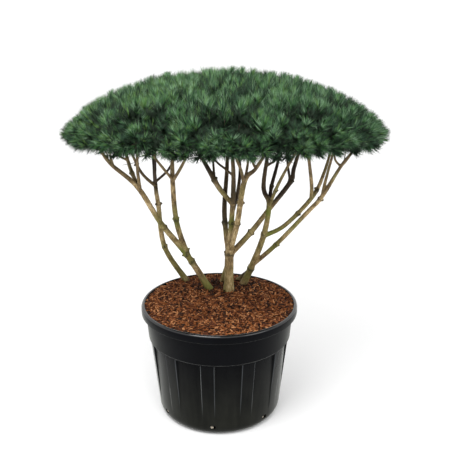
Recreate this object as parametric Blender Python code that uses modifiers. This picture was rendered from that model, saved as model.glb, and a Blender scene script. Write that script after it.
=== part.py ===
"""Scots pine grown on several stems, its crown clipped to a wide dome, in a round nursery pot.

Metres, +Z up. The origin is the centre of the pot's flat underside, and -Y is the front.
"""
import math
import random

import bmesh
import bpy
from mathutils import Matrix, Vector

# ---------------------------------------------------------------- driving sizes
FIT_GAP = 0.0004            # left between any two solids that touch

POT_HEIGHT = 0.597
POT_RIM_RADIUS = 0.408
POT_RIM_DEPTH = 0.0425
POT_MOUTH_RADIUS = 0.3905
POT_THROAT_RADIUS = 0.371    # where the rim's inner slope meets the wall
POT_THROAT_HEIGHT = 0.560
POT_BAND_TOP_RADIUS = 0.385
POT_BAND_FOOT_RADIUS = 0.3745
POT_BODY_TOP_RADIUS = 0.3665
POT_BODY_FOOT_RADIUS = 0.3269
POT_UNDERSIDE_RADIUS = 0.290
POT_BODY_TOP = 0.417        # height of the step under the smooth band
POT_BODY_FOOT = 0.050       # height where the rounded corner begins
POT_FLOOR = 0.012
POT_INNER_TOP_RADIUS = 0.3410
POT_INNER_FOOT_RADIUS = 0.308
POT_INNER_FOOT = 0.032
PANEL_COUNT = 11            # sunk panels round the body, with a raised flute between each pair
PANEL_ANGLE = math.radians(20.4)
PANEL_EDGE_ANGLE = math.radians(1.3)
PANEL_PHASE = math.radians(-82.5)
PANEL_DEPTH = 0.014
PANEL_TOP = 0.412
PANEL_FOOT = 0.080
POT_STEPS = PANEL_COUNT * 4
POT_TURN = PANEL_PHASE - math.tau / POT_STEPS * 1.5
DRAIN_COUNT = 7
DRAIN_PHASE = math.radians(-95.5)
DRAIN_SIZE = (0.090, 0.028, 0.020)
DRAIN_HEIGHT = 0.045
DRAIN_RADIUS = 0.305

MULCH_UNDERSIDE = 0.545
MULCH_EDGE_HEIGHT = 0.588
MULCH_RISE = 0.017
MULCH_RADIUS = 0.3899
MULCH_RINGS = 3
FOOT_POCKET = 0.006         # how deep a stem's flat cut sits in the mulch
ROOT_BALL_CORNER_HEIGHT = 0.075
ROOT_BALL_CORNER_RADIUS = 0.262

CROWN_CENTRE = Vector((0.032, 0.140))
CROWN_HALF_WIDTH = 0.818
CROWN_HALF_DEPTH = 0.700
CROWN_EDGE_HEIGHT = 1.488   # height of the widest outline
CROWN_RISE = 0.298
CROWN_ROUNDNESS = 0.72
UNDERSIDE_HEIGHT = 1.385
UNDERSIDE_FRONT_RISE = 0.065
UNDERSIDE_HOLLOW = 0.035
RIM_MASSES = 10
RIM_MASS_PLACE = 0.70       # part of the way from the crown's centre to its edge
INNER_MASSES = 5
INNER_MASS_PLACE = 0.42
CELL_MARGIN = 0.006         # each mass keeps this far inside its own space
CORE_LIFT = 0.045           # a core starts this far above the crown's underside
CORE_EDGE = 0.865
CUSHION_DROP = 0.040        # a cushion's side lies this far under its middle
SPRAY_REACH = 0.072         # the dome stands this far above a core
EDGE_SPRAYS = 4             # fanned out level from each mass at the crown's edge
EDGE_FAN = math.radians(92)
RIM_SPRAYS = 17             # places tried over the rest of such a mass
INNER_SPRAYS = 11
RIM_LOWEST = -0.60          # how far down a mass its sprays begin, from -1 to 1
INNER_LOWEST = 0.30
SPRAY_LENGTH = 0.070
SPRAY_SINK = 0.022
SPRAY_COLLAR = 0.005        # where the needles begin above a core's skin
SPRAY_THICKNESS = 0.0070
SPRAY_SIZES = (1.0, 0.8, 0.6)
EDGE_SPRAY_SIZES = (1.7, 1.6, 1.5, 1.4, 1.3, 1.2, 1.1, 1.0, 0.8, 0.6)
NEEDLE_LENGTH = 0.036
TWIG_THICKNESS = 0.0045
LIMB_CLEARANCE = 0.004
UNION_SOLVER = "MANIFOLD"

FOOT_FLARE = 0.22
FOOT_FLARE_LENGTH = 0.045
LIMB_STEP = 0.100           # about the distance between a limb's rings
BARE_TIP_LIFT = 0.026       # a bough that carries no mass ends this far above the underside
CARRIER_TIP_LIFT = 0.008

random.seed(3)

# Limbs: name, parent, where it leaves the parent (a foot's x and y, or a height on the parent),
# the knees it passes, its tip's x and y under the crown, and its widths in millimetres
LIMBS = [
    ("stem_left_back", None, (-0.185, 0.285),
     [(-0.306, 0.270, 0.802), (-0.337, 0.300, 1.036), (-0.353, 0.330, 1.148)],
     (-0.385, 0.510), (32, 28, 25, 23, 12)),
    ("bough_left_rear", "stem_left_back", 1.140,
     [(-0.434, 0.332, 1.222)], (-0.510, 0.330), (19, 16, 12)),
    ("bough_left_upright", "stem_left_back", 1.146,
     [(-0.349, 0.305, 1.230)], (-0.335, 0.262), (17, 14, 11)),
    ("stem_left_front", None, (-0.051, 0.143),
     [(-0.173, 0.120, 0.810), (-0.301, 0.070, 1.002), (-0.407, 0.020, 1.207), (-0.529, -0.020, 1.335)],
     (-0.585, -0.030), (36, 32, 28, 25, 18, 11)),
    ("bough_left_second", "stem_left_front", 1.203,
     [(-0.454, 0.080, 1.309)], (-0.492, 0.150), (22, 19, 14)),
    ("bough_left_riser", "stem_left_front", 1.190,
     [(-0.394, -0.055, 1.322)], (-0.376, -0.140), (18, 15, 11)),
    ("stem_left_middle", "stem_left_front", 0.803,
     [(-0.221, 0.080, 1.005), (-0.232, 0.030, 1.236)], (-0.225, -0.010), (30, 27, 25, 15)),
    ("bough_middle_left", "stem_left_middle", 1.247,
     [(-0.283, -0.060, 1.340)], (-0.331, -0.163), (15, 13, 11)),
    ("bough_middle_right", "stem_left_middle", 1.240,
     [(-0.182, -0.070, 1.328)], (-0.115, -0.200), (17, 15, 12)),
    ("trunk_centre", None, (0.050, 0.115),
     [(0.053, 0.138, 0.800), (0.064, 0.130, 0.981), (0.074, 0.120, 1.225)],
     (0.060, 0.140), (52, 47, 28, 24, 16)),
    ("stem_centre_back", "trunk_centre", 0.780,
     [(0.031, 0.170, 0.960), (0.027, 0.225, 1.062), (0.040, 0.400, 1.212)],
     (0.045, 0.585), (30, 28, 26, 22, 13)),
    ("bough_centre_left", "trunk_centre", 1.090,
     [(0.000, 0.150, 1.170), (-0.060, 0.200, 1.264), (-0.130, 0.265, 1.375)],
     (-0.165, 0.290), (24, 27, 23, 18, 14)),
    ("bough_centre_back", "trunk_centre", 1.035,
     [(0.098, 0.190, 1.146), (0.110, 0.300, 1.262)], (0.080, 0.385), (20, 19, 16, 12)),
    ("stem_centre_right", "trunk_centre", 0.815,
     [(0.093, 0.090, 0.993), (0.127, 0.020, 1.237), (0.181, -0.030, 1.314)],
     (0.248, -0.088), (32, 29, 27, 18, 14)),
    ("bough_centre_front", "stem_centre_right", 1.225,
     [(0.106, -0.085, 1.320)], (0.062, -0.270), (17, 15, 11)),
    ("bough_centre_riser", "stem_centre_right", 1.231,
     [(0.141, 0.010, 1.317)], (0.154, -0.005), (15, 13, 10)),
    ("stem_right_rear", "trunk_centre", 0.797,
     [(0.164, 0.150, 0.923), (0.256, 0.195, 1.030), (0.381, 0.250, 1.180), (0.400, 0.272, 1.250)],
     (0.460, 0.330), (30, 29, 26, 25, 23, 13)),
    ("bough_rear_riser", "stem_right_rear", 1.178,
     [(0.362, 0.246, 1.280)], (0.350, 0.240), (15, 13, 10)),
    ("stem_right", None, (0.128, 0.226),
     [(0.175, 0.200, 0.710), (0.236, 0.135, 0.917), (0.259, 0.122, 1.092), (0.233, 0.180, 1.178)],
     (0.272, 0.272), (38, 35, 30, 26, 24, 15)),
    ("bough_right_back", "stem_right", 1.080,
     [(0.278, 0.220, 1.165), (0.325, 0.410, 1.262)], (0.350, 0.500), (21, 20, 17, 12)),
    ("bough_right_front", "stem_right", 1.082,
     [(0.307, 0.050, 1.232)], (0.400, -0.052), (18, 16, 11)),
    ("stem_right_low", "stem_right", 0.720,
     [(0.302, 0.140, 0.861), (0.458, 0.080, 1.062), (0.523, 0.050, 1.152), (0.601, 0.000, 1.318)],
     (0.665, -0.030), (25, 24, 22, 22, 16, 10)),
    ("bough_low_riser", "stem_right_low", 1.148,
     [(0.536, 0.042, 1.236)], (0.572, 0.000), (18, 15, 11)),
    ("stem_right_high", "stem_right", 0.912,
     [(0.347, 0.130, 0.974), (0.486, 0.150, 1.120), (0.546, 0.180, 1.239)],
     (0.600, 0.230), (25, 23, 22, 17, 12)),
    ("bough_high_riser", "stem_right_high", 1.112,
     [(0.468, 0.060, 1.217)], (0.412, -0.165), (20, 19, 13)),
]
# Root legs: name, the stem it joins and at what height, its foot's x and y, and its widths
LEGS = [
    ("leg_centre", "trunk_centre", 0.790, (0.014, 0.262), (30, 22)),
    ("leg_right", "stem_right", 0.690, (0.098, 0.300), (26, 21)),
]
# The limb whose tip each mass of foliage grows on from
RIM_NAMES = [
    ("foliage_front", "bough_centre_front"),
    ("foliage_front_right", "bough_high_riser"),
    ("foliage_right_front", "stem_right_low"),
    ("foliage_right_back", "stem_right_high"),
    ("foliage_back_right", "bough_right_back"),
    ("foliage_back", "stem_centre_back"),
    ("foliage_back_left", "stem_left_back"),
    ("foliage_left_back", "bough_left_rear"),
    ("foliage_left_front", "stem_left_front"),
    ("foliage_front_left", "bough_middle_left"),
]
INNER_NAMES = [
    ("foliage_inner_front_right", "stem_centre_right"),
    ("foliage_inner_right", "stem_right"),
    ("foliage_inner_back", "bough_centre_back"),
    ("foliage_inner_left", "bough_centre_left"),
    ("foliage_inner_front_left", "stem_left_middle"),
]
TOP_NAME = ("foliage_top", "trunk_centre")
CARRIERS = {limb for _, limb in RIM_NAMES + INNER_NAMES + [TOP_NAME]}


# ---------------------------------------------------------------- scene and materials
for old_object in list(bpy.data.objects):
    bpy.data.objects.remove(old_object, do_unlink=True)


def new_collection(name):
    collection = bpy.data.collections.new(name)
    bpy.context.scene.collection.children.link(collection)
    return collection


PLANT = new_collection("potted_scots_pine")


def make_material(name, colour, roughness):
    material = bpy.data.materials.new(name)
    material.use_nodes = True
    shader = material.node_tree.nodes["Principled BSDF"]
    shader.inputs["Base Color"].default_value = (*colour, 1.0)
    shader.inputs["Roughness"].default_value = roughness
    shader.inputs["Metallic"].default_value = 0.0
    material.diffuse_color = (*colour, 1.0)
    return material


POT_PLASTIC = make_material("pot_plastic", (0.018, 0.019, 0.021), 0.38)
ROOT_BALL_SOIL = make_material("root_ball_soil", (0.060, 0.038, 0.024), 0.95)
MULCH_BARK = make_material("mulch_bark", (0.190, 0.075, 0.040), 0.90)
STEM_BARK = make_material("stem_bark", (0.230, 0.180, 0.100), 0.85)
NEEDLES = make_material("needles", (0.055, 0.130, 0.085), 0.60)


# ---------------------------------------------------------------- mesh helpers
def add_object(name, mesh, material=None, collection=PLANT):
    made = bpy.data.objects.new(name, mesh)
    collection.objects.link(made)
    if material:
        mesh.materials.clear()
        mesh.materials.append(material)
    return made


def mesh_of(source):
    """The evaluated mesh of an object or curve, welded, as a new mesh."""
    graph = bpy.context.evaluated_depsgraph_get()
    graph.update()
    mesh = bpy.data.meshes.new_from_object(source.evaluated_get(graph))
    shape = bmesh.new()
    shape.from_mesh(mesh)
    bmesh.ops.remove_doubles(shape, verts=shape.verts, dist=0.00001)
    shape.to_mesh(mesh)
    shape.free()
    return mesh


def discard(made):
    mesh = made.data
    bpy.data.objects.remove(made, do_unlink=True)
    if mesh.users == 0:
        bpy.data.meshes.remove(mesh)


def apply_boolean(target, operation, other=None, collection=None, solver="EXACT"):
    """Apply one Boolean with an object or a collection to the target's own mesh."""
    modifier = target.modifiers.new(operation.lower(), "BOOLEAN")
    modifier.operation = operation
    modifier.solver = solver
    if collection:
        modifier.operand_type = "COLLECTION"
        modifier.collection = collection
    else:
        modifier.object = other
    mesh = mesh_of(target)
    target.modifiers.clear()
    old_mesh = target.data
    target.data = mesh
    bpy.data.meshes.remove(old_mesh)


def cut_away(target, mesh):
    """Cut a mesh out of the target."""
    cutter = add_object("cutter", mesh)
    cutter.hide_render = True
    cutter.display_type = "WIRE"
    apply_boolean(target, "DIFFERENCE", cutter)
    discard(cutter)


def keep_outer_skin(mesh):
    """Keep the largest shell, so that loose scraps go and sealed hollows are filled."""
    shape = bmesh.new()
    shape.from_mesh(mesh)
    unseen = set(shape.faces)
    shells = []
    while unseen:
        front = [unseen.pop()]
        shell = set(front)
        while front:
            neighbours = {face for edge in front.pop().edges for face in edge.link_faces}
            fresh = neighbours & unseen
            unseen -= fresh
            shell |= fresh
            front.extend(fresh)
        shells.append(shell)
    largest = max(shells, key=len)
    scraps = [face for face in shape.faces if face not in largest]
    bmesh.ops.delete(shape, geom=scraps, context="FACES")
    shape.to_mesh(mesh)
    shape.free()


def shade_round(made, angle=math.radians(35)):
    made.data.shade_smooth()
    made.data.set_sharp_from_angle(angle=angle)


def turned_mesh(profile, steps):
    """A closed mesh turned about Z from a profile that runs down its outer side."""
    mesh = bpy.data.meshes.new("profile")
    edges = [(index, index + 1) for index in range(len(profile) - 1)]
    mesh.from_pydata([(radius, 0.0, height) for radius, height in profile], edges, [])
    guide = add_object("profile", mesh)
    screw = guide.modifiers.new("turn", "SCREW")
    screw.steps = steps
    screw.render_steps = steps
    screw.use_merge_vertices = True
    screw.merge_threshold = 0.00001
    result = mesh_of(guide)
    discard(guide)
    result.transform(Matrix.Rotation(POT_TURN, 4, "Z"))
    return result


# ---------------------------------------------------------------- pot, root ball and mulch
def onto_panels(point):
    """Shift a point of the turned body onto the sunk panels and the flutes between them."""
    radius = math.hypot(point.x, point.y)
    if radius < POT_UNDERSIDE_RADIUS - 0.001 or point.z > POT_BODY_TOP - 0.001:
        return point
    column = round((math.atan2(point.y, point.x) - POT_TURN) / (math.tau / POT_STEPS)) % POT_STEPS
    panel, place = divmod(column, 4)
    half_panel = PANEL_ANGLE / 2
    edges = (-half_panel - PANEL_EDGE_ANGLE, -half_panel, half_panel, half_panel + PANEL_EDGE_ANGLE)
    angle = PANEL_PHASE + panel * math.tau / PANEL_COUNT + edges[place]
    if place in (1, 2) and PANEL_FOOT < point.z < PANEL_TOP + 0.0005:
        radius -= PANEL_DEPTH * (point.z - PANEL_FOOT) / (PANEL_TOP - PANEL_FOOT)
    return Vector((radius * math.cos(angle), radius * math.sin(angle), point.z))


def inner_radius(height):
    """The radius of the pot's inner wall."""
    if height > POT_BODY_TOP:
        part = (height - POT_BODY_TOP) / (POT_THROAT_HEIGHT - POT_BODY_TOP)
        return POT_INNER_TOP_RADIUS + part * (POT_THROAT_RADIUS - POT_INNER_TOP_RADIUS)
    part = (height - POT_INNER_FOOT) / (POT_BODY_TOP - POT_INNER_FOOT)
    return POT_INNER_FOOT_RADIUS + part * (POT_INNER_TOP_RADIUS - POT_INNER_FOOT_RADIUS)


def body_radius(height):
    """The outer radius of the body between its rounded corner and its step."""
    part = (height - POT_BODY_FOOT) / (POT_BODY_TOP - POT_BODY_FOOT)
    return POT_BODY_FOOT_RADIUS + part * (POT_BODY_TOP_RADIUS - POT_BODY_FOOT_RADIUS)


def make_pot():
    rim_foot = POT_HEIGHT - POT_RIM_DEPTH
    outside = [
        (0.0, POT_HEIGHT),
        (POT_RIM_RADIUS - 0.012, POT_HEIGHT),
        (POT_RIM_RADIUS - 0.003, POT_HEIGHT - 0.004),
        (POT_RIM_RADIUS, POT_HEIGHT - 0.012),
        (POT_RIM_RADIUS - 0.001, rim_foot),
        (POT_BAND_TOP_RADIUS, rim_foot - 0.002),
        (POT_BAND_FOOT_RADIUS, POT_BODY_TOP + 0.010),
        (POT_BODY_TOP_RADIUS, POT_BODY_TOP),
        (body_radius(PANEL_TOP), PANEL_TOP),
        (body_radius(PANEL_FOOT), PANEL_FOOT),
        (POT_BODY_FOOT_RADIUS, POT_BODY_FOOT),
        (POT_BODY_FOOT_RADIUS - 0.009, 0.016),
        (POT_UNDERSIDE_RADIUS, 0.0),
        (0.0, 0.0),
    ]
    inside = [
        (0.0, POT_HEIGHT + 0.010),
        (POT_MOUTH_RADIUS + 0.001, POT_HEIGHT + 0.010),
        (POT_MOUTH_RADIUS, POT_HEIGHT - 0.010),
        (POT_THROAT_RADIUS, POT_THROAT_HEIGHT),
        (POT_INNER_TOP_RADIUS, POT_BODY_TOP),
        (POT_INNER_FOOT_RADIUS, POT_INNER_FOOT),
        (POT_INNER_FOOT_RADIUS - 0.014, POT_FLOOR),
        (0.0, POT_FLOOR),
    ]
    mesh = turned_mesh(outside, POT_STEPS)
    for vertex in mesh.vertices:
        vertex.co = onto_panels(vertex.co)
    pot = add_object("pot", mesh, POT_PLASTIC)
    cut_away(pot, turned_mesh(inside, POT_STEPS))
    for index in range(DRAIN_COUNT):
        slot = bmesh.new()
        bmesh.ops.create_cube(slot, size=1.0)
        size = Matrix.Diagonal((*DRAIN_SIZE, 1.0))
        place = Matrix.Translation((DRAIN_RADIUS, 0.0, DRAIN_HEIGHT))
        turn = Matrix.Rotation(DRAIN_PHASE + index * math.tau / DRAIN_COUNT, 4, "Z")
        slot.transform(turn @ place @ size)
        slot_mesh = bpy.data.meshes.new("drain_slot")
        slot.to_mesh(slot_mesh)
        slot.free()
        cut_away(pot, slot_mesh)
    pot.data.materials.clear()
    pot.data.materials.append(POT_PLASTIC)
    shade_round(pot)


def mulch_height(x, y):
    return MULCH_EDGE_HEIGHT + MULCH_RISE * (1.0 - (x * x + y * y) / MULCH_RADIUS ** 2)


def make_mulch():
    rings = [MULCH_RADIUS * index / MULCH_RINGS for index in range(MULCH_RINGS + 1)]
    profile = [(radius, mulch_height(radius, 0.0)) for radius in rings]
    profile.append((POT_THROAT_RADIUS - FIT_GAP * 1.5, POT_THROAT_HEIGHT))
    profile.append((inner_radius(MULCH_UNDERSIDE) - FIT_GAP * 1.5, MULCH_UNDERSIDE))
    profile.append((0.0, MULCH_UNDERSIDE))
    return add_object("bark_mulch", turned_mesh(profile, POT_STEPS), MULCH_BARK)


def make_root_ball():
    top = MULCH_UNDERSIDE - FIT_GAP
    side_gap = FIT_GAP * 1.5
    profile = [
        (0.0, top),
        (inner_radius(top) - side_gap, top),
        (inner_radius(POT_BODY_TOP) - side_gap, POT_BODY_TOP),
        (inner_radius(ROOT_BALL_CORNER_HEIGHT) - side_gap, ROOT_BALL_CORNER_HEIGHT),
        (ROOT_BALL_CORNER_RADIUS, POT_FLOOR + FIT_GAP),
        (0.0, POT_FLOOR + FIT_GAP),
    ]
    shade_round(add_object("root_ball", turned_mesh(profile, POT_STEPS), ROOT_BALL_SOIL))


# ---------------------------------------------------------------- crown surfaces
def crown_ratio(x, y):
    """0 over the crown's centre and 1 at its edge."""
    across = (x - CROWN_CENTRE.x) / CROWN_HALF_WIDTH
    along = (y - CROWN_CENTRE.y) / CROWN_HALF_DEPTH
    return math.hypot(across, along)


def outward_from_crown(x, y):
    """The level direction square to the crown's outline at a place."""
    across = (x - CROWN_CENTRE.x) / CROWN_HALF_WIDTH ** 2
    along = (y - CROWN_CENTRE.y) / CROWN_HALF_DEPTH ** 2
    return Vector((across, along, 0.0)).normalized()


def dome_height(x, y):
    inside = max(0.0, 1.0 - crown_ratio(x, y) ** 2)
    return CROWN_EDGE_HEIGHT + CROWN_RISE * inside ** CROWN_ROUNDNESS


def underside_height(x, y):
    towards_front = max(0.0, (CROWN_CENTRE.y - y) / CROWN_HALF_DEPTH)
    hollow = UNDERSIDE_HOLLOW * max(0.0, 1.0 - crown_ratio(x, y) ** 2)
    return UNDERSIDE_HEIGHT + UNDERSIDE_FRONT_RISE * towards_front + hollow


# ---------------------------------------------------------------- stems and boughs
limb_paths = {}             # name: list of (point, radius) down the limb's axis


def smooth_path(points, radii):
    """Read a smooth curve through the points, with a ring about every LIMB_STEP."""
    ends = [points[0] * 2 - points[1]] + points + [points[-1] * 2 - points[-2]]
    path = [(points[0], radii[0])]
    for index in range(len(points) - 1):
        before, start, end, after = ends[index:index + 4]
        pieces = max(1, round((end - start).length / LIMB_STEP))
        for piece in range(1, pieces + 1):
            part = piece / pieces
            bend_in = (end - before) * part + (before * 2 - start * 5 + end * 4 - after) * part ** 2
            bend_out = (start * 3 - before - end * 3 + after) * part ** 3
            place = start + (bend_in + bend_out) / 2
            path.append((place, radii[index] + (radii[index + 1] - radii[index]) * part))
    return path


def tube_mesh(path, grow=0.0, resolution=1):
    """A closed tapering tube along a path. A bevel resolution of 1 gives six sides."""
    curve = bpy.data.curves.new("tube", "CURVE")
    curve.dimensions = "3D"
    curve.bevel_depth = 1.0
    curve.bevel_resolution = resolution
    curve.use_fill_caps = True
    spline = curve.splines.new("POLY")
    spline.points.add(len(path) - 1)
    for point, (place, radius) in zip(spline.points, path):
        point.co = (*place, 1.0)
        point.radius = radius + grow
    guide = bpy.data.objects.new("tube", curve)
    PLANT.objects.link(guide)
    mesh = mesh_of(guide)
    bpy.data.objects.remove(guide, do_unlink=True)
    bpy.data.curves.remove(curve)
    return mesh


def cut_flat(mesh, height):
    """Cut a mesh flat at a height, drop what is below and close it."""
    shape = bmesh.new()
    shape.from_mesh(mesh)
    everything = shape.verts[:] + shape.edges[:] + shape.faces[:]
    bmesh.ops.bisect_plane(
        shape, geom=everything, plane_co=(0, 0, height), plane_no=(0, 0, 1), clear_inner=True)
    bmesh.ops.holes_fill(shape, edges=[edge for edge in shape.edges if edge.is_boundary], sides=0)
    bmesh.ops.recalc_face_normals(shape, faces=shape.faces)
    shape.to_mesh(mesh)
    shape.free()
    return mesh


def point_on_limb(name, height):
    """The point of a limb's axis at a height."""
    path = limb_paths[name]
    for (low, _), (high, _) in zip(path, path[1:]):
        if low.z <= height <= high.z:
            return low.lerp(high, (height - low.z) / (high.z - low.z))
    return path[-1][0].copy()


def flared(path):
    """Widen a stem's foot, and run its axis on below the mulch for the flat cut."""
    foot, foot_radius = path[0]
    heading = (path[1][0] - foot).normalized()
    wide = []
    for place, radius in path:
        swell = 1.0 + FOOT_FLARE * math.exp(-(place - foot).length / FOOT_FLARE_LENGTH)
        wide.append((place, radius * swell))
    below = (foot - heading * FOOT_FLARE_LENGTH, foot_radius * (1.0 + FOOT_FLARE * 1.6))
    above = (foot + heading * FOOT_FLARE_LENGTH * 0.8, foot_radius * (1.0 + FOOT_FLARE * 0.45))
    return [below, above] + [(place, radius) for place, radius in wide[1:]]


def distance_to_path(point, path):
    """How far a point is from a limb's skin."""
    nearest = 10.0
    for (start, start_radius), (end, end_radius) in zip(path, path[1:]):
        along = end - start
        part = min(1.0, max(0.0, (point - start).dot(along) / along.length_squared))
        skin = start_radius + (end_radius - start_radius) * part
        nearest = min(nearest, (point - start - along * part).length - skin)
    return nearest


def overlaps_limb(path, other):
    for (start, radius), (end, _) in zip(path, path[1:]):
        for part in (0.0, 0.25, 0.5, 0.75, 1.0):
            if distance_to_path(start.lerp(end, part), other) < radius + FIT_GAP * 2:
                return True
    return False


def cut_by_earlier_limbs(limb, path):
    """Cut a new limb clear of each limb made before it."""
    for name, other in limb_paths.items():
        if name != limb.name and overlaps_limb(path, other):
            cut_away(limb, tube_mesh(other, grow=FIT_GAP))
            keep_outer_skin(limb.data)


def finish_limb(name, path, foot_height=None):
    mesh = tube_mesh(path)
    if foot_height is not None:
        cut_flat(mesh, foot_height)
    limb = add_object(name, mesh, STEM_BARK)
    cut_by_earlier_limbs(limb, path)
    limb.data.materials.clear()
    limb.data.materials.append(STEM_BARK)
    shade_round(limb, math.radians(75))
    limb_paths[name] = path


def foot_point(x, y):
    return Vector((x, y, mulch_height(x, y) - FOOT_POCKET))


def sink_foot(mulch, path, foot_height):
    """Cut the pocket that a stem's foot stands in out of the mulch."""
    pocket = cut_flat(tube_mesh(path, grow=FIT_GAP), foot_height - FIT_GAP)
    cut_away(mulch, pocket)


def make_limbs(mulch):
    for name, parent, root, knees, tip, widths in LIMBS:
        lift = CARRIER_TIP_LIFT if name in CARRIERS else BARE_TIP_LIFT
        tip_point = Vector((*tip, underside_height(*tip) + lift))
        start = point_on_limb(parent, root) if parent else foot_point(*root)
        points = [start] + [Vector(knee) for knee in knees] + [tip_point]
        path = smooth_path(points, [width / 2000 for width in widths])
        if parent:
            finish_limb(name, path)
        else:
            path = flared(path)
            finish_limb(name, path, start.z)
            sink_foot(mulch, path, start.z)
    for name, parent, height, foot, widths in LEGS:
        start = foot_point(*foot)
        path = smooth_path([start, point_on_limb(parent, height)], [width / 2000 for width in widths])
        path = flared(path)
        finish_limb(name, path, start.z)
        sink_foot(mulch, path, start.z)


# ---------------------------------------------------------------- masses of foliage
def ring_places(count, place, first_angle):
    for index in range(count):
        angle = first_angle + index * math.tau / count
        x = CROWN_CENTRE.x + place * CROWN_HALF_WIDTH * math.cos(angle)
        y = CROWN_CENTRE.y + place * CROWN_HALF_DEPTH * math.sin(angle)
        yield Vector((x, y))


def plan_masses():
    """Each mass's name, its carrying limb and its centre in plan."""
    front = math.radians(-90)
    rim = ring_places(RIM_MASSES, RIM_MASS_PLACE, front)
    inner = ring_places(INNER_MASSES, INNER_MASS_PLACE, front + math.tau / RIM_MASSES)
    places = list(rim) + list(inner) + [CROWN_CENTRE]
    names = RIM_NAMES + INNER_NAMES + [TOP_NAME]
    return [(name, limb, place) for (name, limb), place in zip(names, places)]


class Space:
    """The upright space that one mass keeps to, up to half way to its neighbours."""

    def __init__(self, centre, others):
        self.centre = centre
        self.steps = [other - centre for other in others]

    def room(self, x, y):
        """How far a point lies inside the nearest side."""
        offset = Vector((x, y)) - self.centre
        return min(step.length / 2 - offset.dot(step) / step.length for step in self.steps)

    def reach(self, direction):
        """How far the core may reach in a level direction, and whether that is the crown's edge."""
        side = 10.0
        for step in self.steps:
            towards = direction.dot(step) / step.length
            if towards > 0.01:
                side = min(side, (step.length / 2 - CELL_MARGIN) / towards)
        edge = 0.0
        while edge < side:
            place = self.centre + direction * (edge + 0.01)
            if crown_ratio(place.x, place.y) > CORE_EDGE:
                return edge, True
            edge += 0.01
        return side, False

    def skin(self, normal):
        """The point of the core's skin in a direction, and whether that side is the crown's edge."""
        level = Vector((normal.x, normal.y))
        spread = level.length
        direction = level.normalized() if spread > 0.001 else Vector((1.0, 0.0))
        reach, is_edge = self.reach(direction)
        place = self.centre + direction * reach * spread
        top = dome_height(place.x, place.y) - SPRAY_REACH - CUSHION_DROP * spread ** 2
        low = underside_height(place.x, place.y) + CORE_LIFT
        middle = low + (top - low) * 0.45
        height = middle + (top - middle) * normal.z if normal.z > 0 else middle + (middle - low) * normal.z
        return Vector((place.x, place.y, height)), is_edge


def clear_of_limbs(points):
    return all(
        distance_to_path(point, path) > LIMB_CLEARANCE
        for point in points
        for path in limb_paths.values()
        if point.z < path[-1][0].z + 0.05)


def keeps_to_space(space, points):
    for point in points:
        if space.room(point.x, point.y) < CELL_MARGIN / 2 or crown_ratio(point.x, point.y) > 1.0:
            return False
        if point.z > dome_height(point.x, point.y) + 0.012:
            return False
        if point.z < underside_height(point.x, point.y) - 0.008:
            return False
    return clear_of_limbs(points)


def make_core(space):
    shape = bmesh.new()
    bmesh.ops.create_icosphere(shape, subdivisions=2, radius=1.0)
    for vertex in shape.verts:
        vertex.co = space.skin(vertex.co.normalized())[0]
    mesh = bpy.data.meshes.new("core")
    shape.to_mesh(mesh)
    shape.free()
    return mesh


def spray_shape(size):
    """A slim three-sided shoot whose faces above the core are drawn out into needles."""
    shape = bmesh.new()
    length = SPRAY_LENGTH * size + SPRAY_SINK
    bmesh.ops.create_cone(
        shape, cap_ends=True, segments=3, radius1=SPRAY_THICKNESS, radius2=0.0, depth=length)
    bmesh.ops.translate(shape, verts=shape.verts, vec=(0, 0, length / 2 - SPRAY_SINK))
    bmesh.ops.remove_doubles(shape, verts=shape.verts, dist=0.0001)
    sides = [edge for edge in shape.edges if abs(edge.verts[0].co.z - edge.verts[1].co.z) > 0.01]
    bmesh.ops.subdivide_edges(shape, edges=sides, cuts=2)
    for vertex in shape.verts:
        part = (vertex.co.z + SPRAY_SINK) / length
        if 0.1 < part < 0.5:
            vertex.co.z = SPRAY_COLLAR
        elif 0.5 < part < 0.9:
            vertex.co = Vector((vertex.co.x * 1.9, vertex.co.y * 1.9, SPRAY_LENGTH * size * 0.45))
    above = [face for face in shape.faces if face.calc_center_median().z > SPRAY_COLLAR]
    poked = bmesh.ops.poke(shape, faces=above)
    needle = NEEDLE_LENGTH * size
    for vertex in poked["verts"]:
        outward = Vector((vertex.co.x, vertex.co.y, 0.0)).normalized()
        rise = 0.45 + 0.5 * vertex.co.z / length
        vertex.co += (outward * (1.0 - 0.45 * rise) + Vector((0, 0, rise))) * needle
    return shape


def place_spray(space, normal):
    """One spray standing out of the core, or None where it has no room."""
    root, is_edge = space.skin(normal)
    level = Vector((normal.x, normal.y, 0.0))
    if is_edge:
        level = outward_from_crown(root.x, root.y) * level.length
    if normal.z < -0.35:
        lean = level.normalized() * 0.8 + Vector((0, 0, -0.45))
    elif is_edge:
        lean = level * 1.25 + Vector((0, 0, max(0.10, normal.z * 1.2)))
    else:
        lean = level * 0.35 + Vector((0, 0, 0.55 + abs(normal.z)))
    heading = lean.normalized()
    turn = random.uniform(0.0, math.tau)
    first_size = random.uniform(0.95, 1.15)
    for size in EDGE_SPRAY_SIZES if is_edge else SPRAY_SIZES:
        shape = spray_shape(first_size * size)
        tilt = heading.to_track_quat("Z", "Y").to_matrix().to_4x4()
        inward = (space_middle(space) - root).normalized() * 0.004
        shape.transform(Matrix.Translation(root + inward) @ tilt @ Matrix.Rotation(turn, 4, "Z"))
        tips = [vertex.co.copy() for vertex in shape.verts]
        if keeps_to_space(space, tips):
            mesh = bpy.data.meshes.new("spray")
            shape.to_mesh(mesh)
            shape.free()
            return mesh
        shape.free()
    return None


def space_middle(space):
    x, y = space.centre
    top = dome_height(x, y) - SPRAY_REACH
    low = underside_height(x, y) + CORE_LIFT
    return Vector((x, y, (top + low) / 2))


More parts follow.
